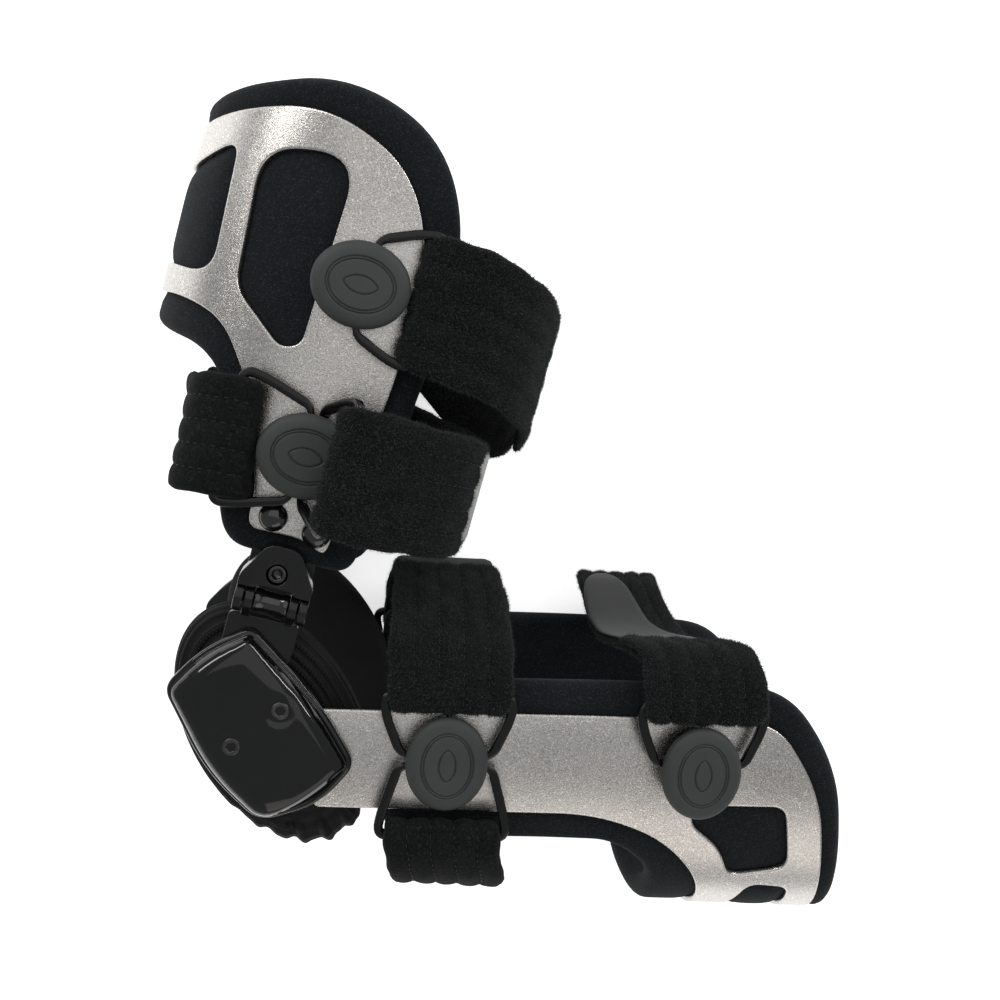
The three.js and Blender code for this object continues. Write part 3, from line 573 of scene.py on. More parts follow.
def grain_group():
    """Fine grain over a slow drift between two tones, with sparse flecks and a height for the bump."""
    tree, takes, gives = group(
        "fine_grain", "ShaderNodeTree",
        [("Light", COLOUR, None), ("Dark", COLOUR, None), ("Fleck", COLOUR, None), ("Grain", FLOAT, 2000),
         ("Drift", FLOAT, 30), ("Grain share", FLOAT, 0.5), ("Flecks", FLOAT, 0)],
        [("Tone", COLOUR), ("Mask", FLOAT), ("Height", FLOAT)],
    )
    place = add(tree, "ShaderNodeTexCoord").outputs["Object"]
    grain = add(tree, "ShaderNodeTexNoise", {
        "Vector": place, "Scale": takes["Grain"], "Detail": 2, "Roughness": 0.6})
    drift = add(tree, "ShaderNodeTexNoise", {
        "Vector": place, "Scale": takes["Drift"], "Detail": 4, "Roughness": 0.55})
    mixed = add(tree, "ShaderNodeMix", {
        "Factor": takes["Grain share"], "A": drift.outputs["Fac"], "B": grain.outputs["Fac"],
    }, data_type="FLOAT")
    spread = add(tree, "ShaderNodeMapRange", {
        "Value": mixed.outputs[0], "From Min": 0.32, "From Max": 0.68, "To Min": 0, "To Max": 1})
    tone = add(tree, "ShaderNodeMix", {
        "Factor": spread.outputs[0], "A": takes["Dark"], "B": takes["Light"]}, data_type="RGBA")
    finer = add(tree, "ShaderNodeMath", {0: takes["Grain"], 1: 0.8}, operation="MULTIPLY")
    dots = add(tree, "ShaderNodeTexNoise", {
        "Vector": place, "Scale": finer.outputs[0], "Detail": 0, "Distortion": 1.5})
    sparse = add(tree, "ShaderNodeMapRange", {
        "Value": dots.outputs["Fac"], "From Min": 0.62, "From Max": 0.78})
    amount = add(tree, "ShaderNodeMath", {0: sparse.outputs[0], 1: takes["Flecks"]}, operation="MULTIPLY")
    flecked = add(tree, "ShaderNodeMix", {
        "Factor": amount.outputs[0], "A": tone.outputs["Result"], "B": takes["Fleck"]}, data_type="RGBA")
    tree.links.new(flecked.outputs["Result"], gives["Tone"])
    tree.links.new(spread.outputs[0], gives["Mask"])
    tree.links.new(grain.outputs["Fac"], gives["Height"])
    return tree


GRAIN = grain_group()


def material(name, **constants):
    """A material with its shader, constants set on the shader's own sockets."""
    look = bpy.data.materials.new(name)
    look.use_nodes = True
    shader = look.node_tree.nodes["Principled BSDF"]
    for socket, value in constants.items():
        shader.inputs[socket.replace("_", " ")].default_value = value
    return look, look.node_tree, shader


def grained(name, light, dark, grain, drift, share, rough, bump, depth, fleck=None, flecks=0, **constants):
    """A finish of fine grain: two tones with flecks, a spread of roughness and a bump."""
    look, tree, shader = material(name, **constants)
    base = add(tree, "ShaderNodeGroup", node_tree=GRAIN)
    values = {
        "Light": (*light, 1), "Dark": (*dark, 1), "Fleck": (*(fleck or light), 1), "Grain": grain,
        "Drift": drift, "Grain share": share, "Flecks": flecks,
    }
    for title, value in values.items():
        base.inputs[title].default_value = value
    worn = add(tree, "ShaderNodeMapRange", {
        "Value": base.outputs["Mask"], "To Min": rough[0], "To Max": rough[1]})
    raised = add(tree, "ShaderNodeBump", {
        "Height": base.outputs["Height"], "Strength": bump, "Distance": depth * MM})
    tree.links.new(base.outputs["Tone"], shader.inputs["Base Color"])
    tree.links.new(worn.outputs[0], shader.inputs["Roughness"])
    tree.links.new(raised.outputs[0], shader.inputs["Normal"])
    return look


# Finishes: lighter and darker tone, scales of grain and drift, the grain's share, least and most roughness,
# and the bump's strength and depth in millimetres
BLASTED_METAL = grained(
    "blasted_metal", (0.74, 0.715, 0.685), (0.27, 0.255, 0.24), 2300, 14, 0.72, (0.2, 0.34), 0.6, 0.14,
    fleck=(1, 0.98, 0.95), flecks=0.9, Metallic=1)
LINER_VELOUR = grained(
    "liner_velour", (0.013, 0.015, 0.018), (0.003, 0.0035, 0.0045), 3200, 60, 0.85, (0.85, 1), 0.8, 0.3,
    fleck=(0.045, 0.05, 0.057), flecks=0.9, Sheen_Weight=0.04, Sheen_Roughness=0.5, Specular_IOR_Level=0.12)
PAD_FABRIC = grained(
    "pad_fabric", (0.014, 0.014, 0.0145), (0.004, 0.004, 0.0045), 2400, 40, 0.7, (0.55, 0.8), 0.5, 0.15,
    Specular_IOR_Level=0.2)
STRAP_PLUSH = grained(
    "strap_plush", (0.011, 0.0118, 0.0122), (0.0014, 0.0016, 0.0018), 1100, 90, 0.75, (0.9, 1), 0.9, 0.5,
    fleck=(0.03, 0.032, 0.0335), flecks=0.5, Sheen_Weight=0.02, Sheen_Roughness=0.6,
    Specular_IOR_Level=0.08)
PLUSH_FIBRE = grained(
    "plush_fibre", (0.08, 0.085, 0.088), (0.003, 0.0032, 0.0034), 1600, 140, 0.7, (0.8, 1), 0.1, 0.05,
    Specular_IOR_Level=0.12)
STUD_RUBBER = grained(
    "stud_rubber", (0.046, 0.050, 0.050), (0.031, 0.034, 0.034), 2200, 50, 0.6, (0.5, 0.66), 0.25, 0.05,
    Specular_IOR_Level=0.35)
CLIP_STEEL = grained(
    "clip_satin_black", (0.004, 0.004, 0.0044), (0.002, 0.002, 0.0022), 1500, 60, 0.5, (0.18, 0.28), 0.12,
    0.05, Specular_IOR_Level=0.35)
COVER_GLOSS = grained(
    "cover_gloss_black", (0.004, 0.0042, 0.0044), (0.002, 0.0021, 0.0022), 500, 24, 0.3, (0.05, 0.10), 0.01,
    0.02, Specular_IOR_Level=0.4, Coat_Weight=0.1, Coat_Roughness=0.03)
HARDWARE_BLACK = grained(
    "hardware_black", (0.007, 0.007, 0.0075), (0.003, 0.003, 0.0035), 1300, 45, 0.5, (0.16, 0.28), 0.08,
    0.06, Specular_IOR_Level=0.35, Coat_Weight=0.1, Coat_Roughness=0.12)
RIVET_GLOSS = grained(
    "rivet_gloss_black", (0.010, 0.010, 0.010), (0.005, 0.005, 0.005), 900, 60, 0.4, (0.08, 0.16), 0.02,
    0.03, Coat_Weight=0.5, Coat_Roughness=0.05)
SCREW_STEEL = grained(
    "screw_dark_steel", (0.10, 0.10, 0.10), (0.035, 0.035, 0.035), 1600, 80, 0.6, (0.26, 0.45), 0.2, 0.05,
    Metallic=1)
TAB_GREY = grained(
    "tab_grey", (0.017, 0.0185, 0.0175), (0.011, 0.0125, 0.012), 1800, 60, 0.6, (0.5, 0.64), 0.3, 0.06,
    Specular_IOR_Level=0.25)
# The thigh's lower tab: the tabs' grey made pale, painted light on it.
TAB_GREY_PAINTED_LIGHT = grained(
    "tab_pale", (0.20, 0.205, 0.185), (0.14, 0.145, 0.13), 1800, 60, 0.6, (0.42, 0.56), 0.3, 0.06)
# The calf's upper tab: the tabs' grey made near black, painted shade on it.
TAB_GREY_PAINTED_SHADE = grained(
    "tab_black", (0.006, 0.0065, 0.0065), (0.003, 0.0035, 0.0035), 1800, 60, 0.6, (0.6, 0.75), 0.3, 0.06,
    Specular_IOR_Level=0.1)
# One grey for all tabs: the lower calf's tab has its own tone, and the other two carry painted light and
# painted shade.
TAB_LOOKS = {"thigh_lower": TAB_GREY_PAINTED_LIGHT, "calf_upper": TAB_GREY_PAINTED_SHADE, "calf_lower": TAB_GREY}
STITCH_THREAD = grained(
    "stitch_thread", (0.007, 0.007, 0.0075), (0.002, 0.002, 0.0025), 1200, 90, 0.6, (0.5, 0.7), 0.3, 0.05)


# Geometry Nodes: fibres on a surface, stitches along a line, and fixings set at points


def set_real(tree, instances, look, output):
    """The end of a tree: its instances made real, with their material."""
    real = add(tree, "GeometryNodeRealizeInstances", {0: instances.outputs[0]})
    finished = add(tree, "GeometryNodeSetMaterial", {"Geometry": real.outputs[0], "Material": look})
    tree.links.new(finished.outputs[0], output)


def fibre_tree():
    """Short fibres that stand on a surface, as thick as its pile mark says."""
    tree, takes, gives = group(
        "plush_fibres", "GeometryNodeTree",
        [("Surface", SHAPE, None), ("Density", FLOAT, 1e6), ("Long", FLOAT, 1e-3), ("Thick", FLOAT, 1e-4),
         ("Lean", FLOAT, 0.6), ("Seed", "NodeSocketInt", 1), ("Look", LOOK, None)],
        [("Fibres", SHAPE)],
    )
    pile = add(tree, "GeometryNodeInputNamedAttribute", {"Name": "pile"}, data_type="FLOAT")
    density = add(tree, "ShaderNodeMath", {
        0: takes["Density"], 1: pile.outputs["Attribute"]}, operation="MULTIPLY")
    spread = add(tree, "GeometryNodeDistributePointsOnFaces", {
        "Mesh": takes["Surface"], "Density": density.outputs[0], "Seed": takes["Seed"]})
    fibre = add(tree, "GeometryNodeMeshCone", {
        "Vertices": 3, "Radius Top": 0, "Radius Bottom": takes["Thick"], "Depth": takes["Long"],
    }, fill_type="NONE")
    low = add(tree, "ShaderNodeMath", {0: takes["Lean"], 1: -1}, operation="MULTIPLY")
    lean_by = add(tree, "FunctionNodeRandomValue", {"Seed": takes["Seed"]}, data_type="FLOAT_VECTOR")
    tree.links.new(low.outputs[0], lean_by.inputs["Min"])
    tree.links.new(takes["Lean"], lean_by.inputs["Max"])
    tilt = add(tree, "FunctionNodeEulerToRotation", {0: lean_by.outputs[0]})
    stand = add(tree, "FunctionNodeRotateRotation", {
        0: spread.outputs["Rotation"], 1: tilt.outputs[0]}, rotation_space="LOCAL")
    size = add(tree, "FunctionNodeRandomValue", {"Seed": takes["Seed"]}, data_type="FLOAT")
    size.inputs[2].default_value = 0.5
    size.inputs[3].default_value = 1.2
    stood = add(tree, "GeometryNodeInstanceOnPoints", {
        "Points": spread.outputs["Points"], "Instance": fibre.outputs["Mesh"], "Rotation": stand.outputs[0],
        "Scale": size.outputs[1]})
    set_real(tree, stood, takes["Look"], gives["Fibres"])
    return tree


def stitch_tree():
    """Short stitches laid end to end along lines."""
    tree, takes, gives = group(
        "stitch_rows", "GeometryNodeTree",
        [("Lines", SHAPE, None), ("Pitch", FLOAT, 3e-3), ("Long", FLOAT, 2e-3), ("Thick", FLOAT, 5e-4),
         ("Look", LOOK, None)],
        [("Stitches", SHAPE)],
    )
    curve = add(tree, "GeometryNodeMeshToCurve", {"Mesh": takes["Lines"]})
    spaced = add(tree, "GeometryNodeResampleCurve", {
        "Curve": curve.outputs[0], "Length": takes["Pitch"]}, mode="LENGTH")
    bead = add(tree, "GeometryNodeMeshIcoSphere", {"Radius": 0.5, "Subdivisions": 1})
    shape = add(tree, "ShaderNodeCombineXYZ", {0: takes["Long"], 1: takes["Thick"], 2: takes["Thick"]})
    stitch = add(tree, "GeometryNodeTransform", {
        "Geometry": bead.outputs["Mesh"], "Scale": shape.outputs[0]})
    tangent = add(tree, "GeometryNodeInputTangent")
    facing = add(tree, "FunctionNodeAlignRotationToVector", {"Vector": tangent.outputs[0]}, axis="X")
    laid = add(tree, "GeometryNodeInstanceOnPoints", {
        "Points": spaced.outputs[0], "Instance": stitch.outputs[0], "Rotation": facing.outputs[0]})
    set_real(tree, laid, takes["Look"], gives["Stitches"])
    return tree


def fixing_tree():
    """One fixing set at every point, facing out of the leg, its long way along the limb's back."""
    tree, takes, gives = group(
        "fixings_at_points", "GeometryNodeTree",
        [("Places", SHAPE, None), ("Fixing", "NodeSocketObject", None), ("Look", LOOK, None)],
        [("Fixings", SHAPE)],
    )
    out = add(tree, "GeometryNodeInputNamedAttribute", {"Name": "out"}, data_type="FLOAT_VECTOR")
    back = add(tree, "GeometryNodeInputNamedAttribute", {"Name": "back"}, data_type="FLOAT_VECTOR")
    turn = add(tree, "FunctionNodeAxesToRotation", {
        0: out.outputs["Attribute"], 1: back.outputs["Attribute"]}, primary_axis="Z", secondary_axis="X")
    shape = add(tree, "GeometryNodeObjectInfo", {"Object": takes["Fixing"]})
    points = add(tree, "GeometryNodeMeshToPoints", {"Mesh": takes["Places"]})
    laid = add(tree, "GeometryNodeInstanceOnPoints", {
        "Points": points.outputs[0], "Instance": shape.outputs["Geometry"], "Rotation": turn.outputs[0]})
    set_real(tree, laid, takes["Look"], gives["Fixings"])
    return tree


FIBRES = fibre_tree()
STITCHES = stitch_tree()
FIXINGS = fixing_tree()


def grown(piece, tree, **values):
    """What a tree makes of a piece, as plain mesh in its place."""
    growth = piece.modifiers.new(tree.name, "NODES")
    growth.node_group = tree
    for title, value in values.items():
        growth[tree.interface.items_tree[title].identifier] = value
    piece.update_tag()
    return baked(piece)


def fibres_on(piece, name, seed):
    """Plush fibres on a piece's marked faces, as a piece of their own."""
    pile = linked(name, piece.data.copy())
    return grown(
        pile, FIBRES, Density=FIBRE_DENSITY / MM**2, Long=FIBRE_LONG * MM, Thick=FIBRE_THICK * MM,
        Lean=FIBRE_LEAN, Seed=seed, Look=PLUSH_FIBRE)


def stitched(name, limb, lines, pitch, long, thick):
    """Rows of stitches along lines of points in a limb's own frame."""
    points = np.vstack(lines)
    edges, start = [], 0
    for line in lines:
        edges += [(start + step, start + step + 1) for step in range(len(line) - 1)]
        start += len(line)
    mesh = bpy.data.meshes.new(name)
    mesh.from_pydata(placed(limb, points).tolist(), edges, [])
    piece = linked(name, mesh)
    return grown(piece, STITCHES, Pitch=pitch * MM, Long=long * MM, Thick=thick * MM, Look=STITCH_THREAD)


def fixed_at(name, limb, places, fixing, look):
    """A fixing, drawn about the origin, set at (back, up, side) places on both sides of a limb."""
    points, faces = fixing
    mesh = bpy.data.meshes.new(name + "_pattern")
    mesh.from_pydata((points * MM).tolist(), [], faces)
    mesh.shade_smooth()
    pattern = linked(name + "_pattern", mesh)
    turn = LIMBS[limb][1]
    spots = bpy.data.meshes.new(name)
    spots.from_pydata(placed(limb, places).tolist(), [], [])
    out = spots.attributes.new("out", "FLOAT_VECTOR", "POINT")
    ways = [(0, 0, math.copysign(1, side)) for _, _, side in places]
    out.data.foreach_set("vector", [value for way in ways for value in way])
    back = spots.attributes.new("back", "FLOAT_VECTOR", "POINT")
    back.data.foreach_set("vector", [math.cos(turn), math.sin(turn), 0] * len(places))
    piece = linked(name, spots)
    grown(piece, FIXINGS, Fixing=pattern, Look=look)
    bpy.data.objects.remove(pattern)
    return piece


# Cuffs: metal frames and padded liners


def bowed(value):
    return np.sign(value) * np.abs(value) ** (2 / SECTION_POWER)


class Cuff:
    """A limb's tube, with places on it given flat: the arc round from the front, and the height."""

    def __init__(self, sections):
        heights, *sizes = np.array(sections, float).T
        self.span = heights[0], heights[-1]
        self.curves = [np.polyfit(heights, size, 3) for size in sizes]
        angle = np.linspace(0, math.pi, 1441)
        self.forward = bowed(np.cos(angle))
        self.aside = bowed(np.sin(angle))
        _, deep, wide = self.section(np.mean(self.span))
        steps = np.hypot(np.diff(deep * self.forward), np.diff(wide * self.aside))
        self.arc = np.append(0, np.cumsum(steps))

    def section(self, up):
        return [np.polyval(curve, np.clip(up, *self.span)) for curve in self.curves]

    def surface(self, flat, inset):
        """Points on the tube at flat places, some way in from its outer face."""
        arc, up = flat.T
        middle, deep, wide = self.section(up)
        forward = np.interp(np.abs(arc), self.arc, self.forward)
        aside = np.interp(np.abs(arc), self.arc, self.aside) * np.sign(arc)
        return np.column_stack([middle - (deep - inset) * forward, up, (wide - inset) * aside])

    def unrolled(self, points):
        back, up = points.T
        middle, deep, _ = self.section(up)
        forward = np.clip((middle - back) / deep, -1, 1)
        return np.column_stack([np.interp(-forward, -self.forward, self.arc), up])

    def face_side(self, back, up):
        """Distance of the outer face from the mid-plane."""
        return self.surface(self.unrolled(np.array([(back, up)], float)), 0)[0, 2]

    def laid_flat(self, rows, pitch):
        """A side-view outline on one side, and whether it is closed there or ends at the front."""
        flat = self.unrolled(respaced_loop(rounded(rows), 0.1))
        free = flat[:, 0] > 1e-3
        if free.all():
            return respaced_loop(flat, pitch), True
        start = np.flatnonzero(free & ~np.roll(free, 1))[0]
        run = np.roll(flat, -start, axis=0)[: free.sum()]
        return respaced(np.vstack([run[:1] * (0, 1), run, run[-1:] * (0, 1)]), pitch), False

    def loops(self, outer_rows, inner_rows, pitch, left_inside=True):
        """Closed flat loops of both sides' outlines: one across the front, or one on each side."""
        outer, closed = self.laid_flat(outer_rows, pitch)
        inner = self.laid_flat(inner_rows, pitch)[0] * (-1, 1)
        found = [outer, inner] if closed else [np.vstack([outer, inner[-2:0:-1]])]
        return [loop if (signed_area(loop) > 0) == left_inside else loop[::-1] for loop in found]


def shell(cuff, loops, rim, pitch, outer, inner):
    """A cuff's wall: two sheets joined round each loop by (distance in, share of depth) rows."""
    ways = [inward(loop) for loop in loops]
    core = [loop + rim[0][0] * way for loop, way in zip(loops, ways)]
    flat, triangles = sheet(core, pitch)
    count = len(flat)
    places = [flat, flat]
    depths = [np.zeros(count), np.ones(count)]
    faces = triangles.tolist() + (triangles[:, ::-1] + count).tolist()
    start = 2 * count
    first = 0
    for loop, way in zip(loops, ways):
        size = len(loop)
        rows = [np.arange(first, first + size)]
        for shrink, depth in rim[1:-1]:
            places.append(loop + shrink * way)
            depths.append(np.full(size, depth))
            rows.append(np.arange(start, start + size))
            start += size
        rows.append(np.arange(first, first + size) + count)
        for row, below in zip(rows[:-1], rows[1:]):
            faces += np.column_stack([np.roll(row, -1), row, below, np.roll(below, -1)]).tolist()
        first += size
    flat = np.vstack(places)
    depth = np.concatenate(depths)
    top = outer(flat)
    return cuff.surface(flat, top + depth * (inner - top)), faces, flat


def metal_frame(name, cuff, edge, windows):
    """A bent sheet with windows and thin eased edges."""
    loops = cuff.loops(edge, edge, FRAME_PITCH)
    for rows in windows:
        loops += cuff.loops(rows, rows, FRAME_PITCH, left_inside=False)
    part = FRAME_EDGE / FRAME_WALL
    half_rim = [(1.8 * FRAME_EDGE, 0), (FRAME_EDGE, 0), (0.29 * FRAME_EDGE, 0.29 * part), (0, part)]
    rim = half_rim + [(shrink, 1 - depth) for shrink, depth in half_rim[::-1]]
    points, faces, flat = shell(cuff, loops, rim, SHEET_PITCH, lambda flat: np.zeros(len(flat)), FRAME_WALL)
    piece = make("metal_" + name, limb_of(name), points, faces, BLASTED_METAL, uv=flat)
    stands_for(piece, limb_of(name), "frame", name)
    return loops


def padded_liner(name, cuff, edge, inner_edge, metal, fuller):
    """A velour pad inside a frame, full at its rim and in the windows, and pressed flat under the metal."""
    loops = cuff.loops(edge, inner_edge, LINER_PITCH)
    extra, start, run = fuller

    def outer(flat):
        swell = RIM_SWELL + extra * np.clip((flat[:, 1] - start) / run, 0, 1)
        full = np.where(within(flat, metal[0]), 0, swell)
        for hole, height in zip(metal[1:], (SIDE_WINDOW_SWELL, SIDE_WINDOW_SWELL, FRONT_WINDOW_SWELL)):
            full = np.where(within(flat, hole), height, full)
        rise = 1 - np.exp(-distance_to(flat, metal) / LINER_RISE)
        ripple = LINER_RIPPLE * np.sin(flat[:, 0] / 9.1) * np.sin(flat[:, 1] / 7.3 + 1) * (full > 0)
        return FRAME_WALL + GAP - rise * (full + ripple)

    angles = np.linspace(0, math.pi, 11)
    rim = [(LINER_ROUND * (1 - math.sin(angle)), (1 - math.cos(angle)) / 2) for angle in angles]
    points, faces, flat = shell(cuff, loops, rim, LINER_SHEET_PITCH, outer, FRAME_WALL + GAP + LINER_WALL)
    piece = make("velour_" + name, limb_of(name), points, faces, LINER_VELOUR, uv=flat)
    stands_for(piece, limb_of(name), "liner", name)


thigh_cuff = Cuff(THIGH_SECTIONS)
shin_cuff = Cuff(SHIN_SECTIONS)
thigh_metal = metal_frame(
    "thigh_frame", thigh_cuff, THIGH_FRAME_EDGE, [THIGH_SIDE_WINDOW, THIGH_FRONT_WINDOW])
shin_metal = metal_frame(
    "shin_frame", shin_cuff, SHIN_FRAME_EDGE, [SHIN_SIDE_WINDOW, SHIN_FRONT_WINDOW])
padded_liner(
    "thigh_liner", thigh_cuff, THIGH_LINER_EDGE, THIGH_LINER_INNER_EDGE, thigh_metal, THIGH_LINER_FULLER)
padded_liner("shin_liner", shin_cuff, SHIN_LINER_EDGE, SHIN_LINER_EDGE, shin_metal, SHIN_LINER_FULLER)


# Hinge: covers, pads, arms, tilt brackets and their fixings


def hinge_cover(label, side):
    """A glossy cover with a stepped edge, a crown, a sloped lower end and two dishes for its screws."""
    rim = left_about(respaced_loop(rounded(COVER_EDGE, steps=12), COVER_PITCH))
    way = inward(rim)
    rings = [np.column_stack([rim + inset * way, np.full(len(rim), high)]) for inset, high in COVER_STEPS]
    flat, triangles = sheet([rim + COVER_INSET * way], COVER_PITCH)
    deep = distance_to(flat, [flat[: len(rim)]])
    off = flat - COVER_CROWN_MIDDLE
    crown = COVER_CROWN * (1 - (off**2 / np.square(COVER_CROWN_HALVES)).sum(axis=1))
    high = COVER_RIM + COVER_BEVEL * (1 - np.exp(-deep / COVER_BEVEL_RUN))
    high += crown * np.clip(deep / COVER_CROWN_RUN, 0, 1)
    high -= COVER_SLOPE * np.clip(COVER_CREASE - flat[:, 1], 0, None)
    for place in COVER_SCREWS:
        off = np.linalg.norm(flat - place, axis=1)
        high -= DISH_DEEP / (1 + np.exp((off - DISH_RADIUS) / DISH_EASE))
    top = np.column_stack([flat, high])
    _, faces = lofted([*rings, top[: len(rim)]], capped=False)
    faces.append(list(range(len(rim)))[::-1])
    faces += (triangles + len(rings) * len(rim)).tolist()
    piece = make(f"{label}_cover_shell", "housing", np.vstack([*rings, top]), faces, COVER_GLOSS, side)
    stands_for(piece, "housing", "cover", f"{label}_hinge_cover")


def condyle_pad(label, side):
    """A soft pad with a ribbed binding and corded bands, gathered at its lower edge."""
    profile = respaced(rounded(PAD_PROFILE, closed=False, steps=10), 0.5)
    along = lengths_along(profile)
    slope = unit(np.gradient(profile, axis=0))
    topside = np.clip((profile[:, 1] - PAD_TOPSIDE) / 2, 0, 1)
    bound = np.clip(profile[:, 0] - PAD_BINDING, 0, 1) * topside
    ribs = bound * PAD_RIB * np.abs(np.sin(along * math.pi / PAD_RIB_PITCH))
    cords = sum(np.clip(1 - ((profile[:, 0] - band) / PAD_CORD_HALF) ** 4, 0, 1) for band in PAD_BANDS)
    ribs += PAD_CORD * cords * (profile[:, 1] > PAD_CORD_SIDE)
    angle = np.linspace(0, 2 * math.pi, 260, endpoint=False)
    low = np.clip((-np.sin(angle) - 0.15) / 0.6, 0, 1)
    pleats = np.sin(PAD_PLEATS * angle + 1.8 * np.sin(3 * angle)) + 0.35 * np.sin(41 * angle + 1)
    gathered = np.clip((profile[:, 0] - PAD_GATHERED) / 3, 0, 1) * topside
    turn = math.radians(PAD_LEAN)
    leaning = np.array([[math.cos(turn), -math.sin(turn)], [math.sin(turn), math.cos(turn)]])

    def set_in_place(rows, high):
        flat = rows * (PAD_SLIM, 1) @ leaning + PAD_PLACES[side]
        return np.column_stack([flat, np.broadcast_to(high, len(rows))])

    rings = []
    round_about = np.column_stack([np.cos(angle), np.sin(angle)])
    for (radius, high), rib, (run, rise), hold in zip(profile, ribs, slope, gathered):
        swell = rib * (1 - 0.7 * low) + PAD_GATHER * hold * low * pleats
        rings.append(set_in_place((radius - rise * swell)[:, None] * round_about, high + run * swell))
    points, faces = lofted(rings[::-1])
    piece = make(f"{label}_pad_cushion", "housing", points, faces, PAD_FABRIC, side)
    stands_for(piece, "housing", "liner", f"{label}_condyle_pad")
    lines = []
    turns = np.linspace(*np.radians(PAD_SEWN_DEGREES), 241)
    top = profile[along < PAD_TOP_LENGTH].T
    for band in PAD_BANDS:
        high = np.interp(band, *top) + 0.75
        for radius in (band - 1, band, band + 1):
            line = radius * np.column_stack([np.cos(turns), np.sin(turns)])
            lines.append(set_in_place(line, high) * (1, 1, side))
    rows = stitched(f"{label}_pad_stitching", "housing", lines, *PAD_STITCHES)
    stands_for(rows, "housing", "liner")


def knuckle(radius, foot, span):
    """A clevis knuckle about the barrel's line, with its foot back on a plate."""
    angle = np.linspace(math.radians(-120), math.radians(150), 34)
    curve = np.column_stack([BARREL_UP + radius * np.cos(angle), BARREL_SIDE + radius * np.sin(angle)])
    outline = left_about(np.vstack([curve, foot]))
    return lofted([np.column_stack([np.full(len(outline), back), outline]) for back in span])


def hinge_arm(label, side):
    """The thigh's arm at the hinge: a plate with two knuckles."""
    plate = slab(rounded(ARM_EDGE), *ARM_FACES)
    lugs = [knuckle(LUG_RADIUS, LUG_FOOT, span) for span in LUG_SPANS]
    piece = make(f"{label}_arm_plate", "thigh", *joined(plate, *lugs), HARDWARE_BLACK, side)
    stands_for(eased(piece, ARM_BEVEL), "thigh", "black", f"{label}_hinge_arm")


def tilt_bracket(label, side):
    """The block that carries the thigh frame on the barrel: shoulders, two ears and a base under it."""
    block = slab(rounded(BRACKET_EDGE), *BRACKET_FACES)
    base = slab(np.array(BRACKET_BASE, float), *BRACKET_BASE_FACES)
    ears = [knuckle(EAR_RADIUS, EAR_FOOT, span) for span in EAR_SPANS]
    piece = make(f"{label}_bracket_block", "thigh", *block, HARDWARE_BLACK, side)
    bore = make("bore", "thigh", *turned(BRACKET_BORE, *BRACKET_SCREW), HARDWARE_BLACK, side)
    cut = piece.modifiers.new("screw seat", "BOOLEAN")
    cut.object = bore
    cut.operation = "DIFFERENCE"
    baked(piece)
    bpy.data.objects.remove(bore)
    stands_for(eased(piece, BRACKET_BEVEL), "thigh", "black", f"{label}_tilt_bracket")
    rest = make(f"{label}_bracket_ears", "thigh", *joined(base, *ears), HARDWARE_BLACK, side)
    stands_for(eased(rest, ARM_BEVEL), "thigh", "black")


def tilt_barrel(label, side):
    """The glossy barrel between the knuckles, on its pin."""
    first, last = BARREL_ENDS
    rows = [
        (0.3, PIN_ENDS[0], 0), (PIN_RADIUS, PIN_ENDS[0], 0.4), (PIN_RADIUS, first, 0),
        (BARREL_RADIUS, first, 0.5), (BARREL_RADIUS, first + 1.6, 0.8), (BARREL_WAIST, first + 3, 1),
        (BARREL_WAIST, last - 3, 1), (BARREL_RADIUS, last - 1.6, 0.8), (BARREL_RADIUS, last, 0.5),
        (PIN_RADIUS, last, 0), (PIN_RADIUS, PIN_ENDS[1], 0.4), (0.3, PIN_ENDS[1], 0),
    ]
    barrel = cross_turned(rounded(rows, closed=False, steps=4), BARREL_UP, BARREL_SIDE)
    piece = make(f"{label}_barrel_pin", "thigh", *barrel, RIVET_GLOSS, side)
    stands_for(piece, "thigh", "cover", f"{label}_tilt_barrel")


def socket_screw(head, depth, socket, sides=36):
    """A round screw head with a hexagon socket, its top face at the origin."""
    angle = np.linspace(0, 2 * math.pi, sides, endpoint=False)
    sector = (angle + math.pi / 6) % (math.pi / 3) - math.pi / 6
    hexagon = socket / np.cos(sector)

    def ring(radius, high):
        return np.column_stack([radius * np.cos(angle), radius * np.sin(angle), np.full(sides, high)])

    rows = [
        ring(head, -depth), ring(head, -0.6), ring(head - 0.12, -0.25), ring(head - 0.45, 0),
        ring(socket + 0.55, 0), ring(socket + 0.35, -0.06), ring(hexagon, -0.25), ring(hexagon, -1.6),
        ring(hexagon * 0.2, -1.8),
    ]
    return lofted(rows)


def rivet_dome():
    """A domed rivet head on a thin collar, its foot at the origin."""
    angle = np.linspace(0, math.pi / 2, 14)
    rise = RIVET_HIGH - RIVET_COLLAR
    dome = [
        (RIVET_HEAD * math.cos(turn) ** 0.8, RIVET_COLLAR + rise * math.sin(turn)) for turn in angle[:-1]]
    return turned([(RIVET_HEAD - 0.3, -0.2), *dome, (0.15, RIVET_HIGH)])


for label, side in SIDES.items():
    hinge_cover(label, side)
    condyle_pad(label, side)
    hinge_arm(label, side)
    tilt_bracket(label, side)
    tilt_barrel(label, side)
    plate = frame["nodes"][f"{label}_hinge_plate"]
    plate.data.materials.clear()
    plate.data.materials.append(HARDWARE_BLACK)

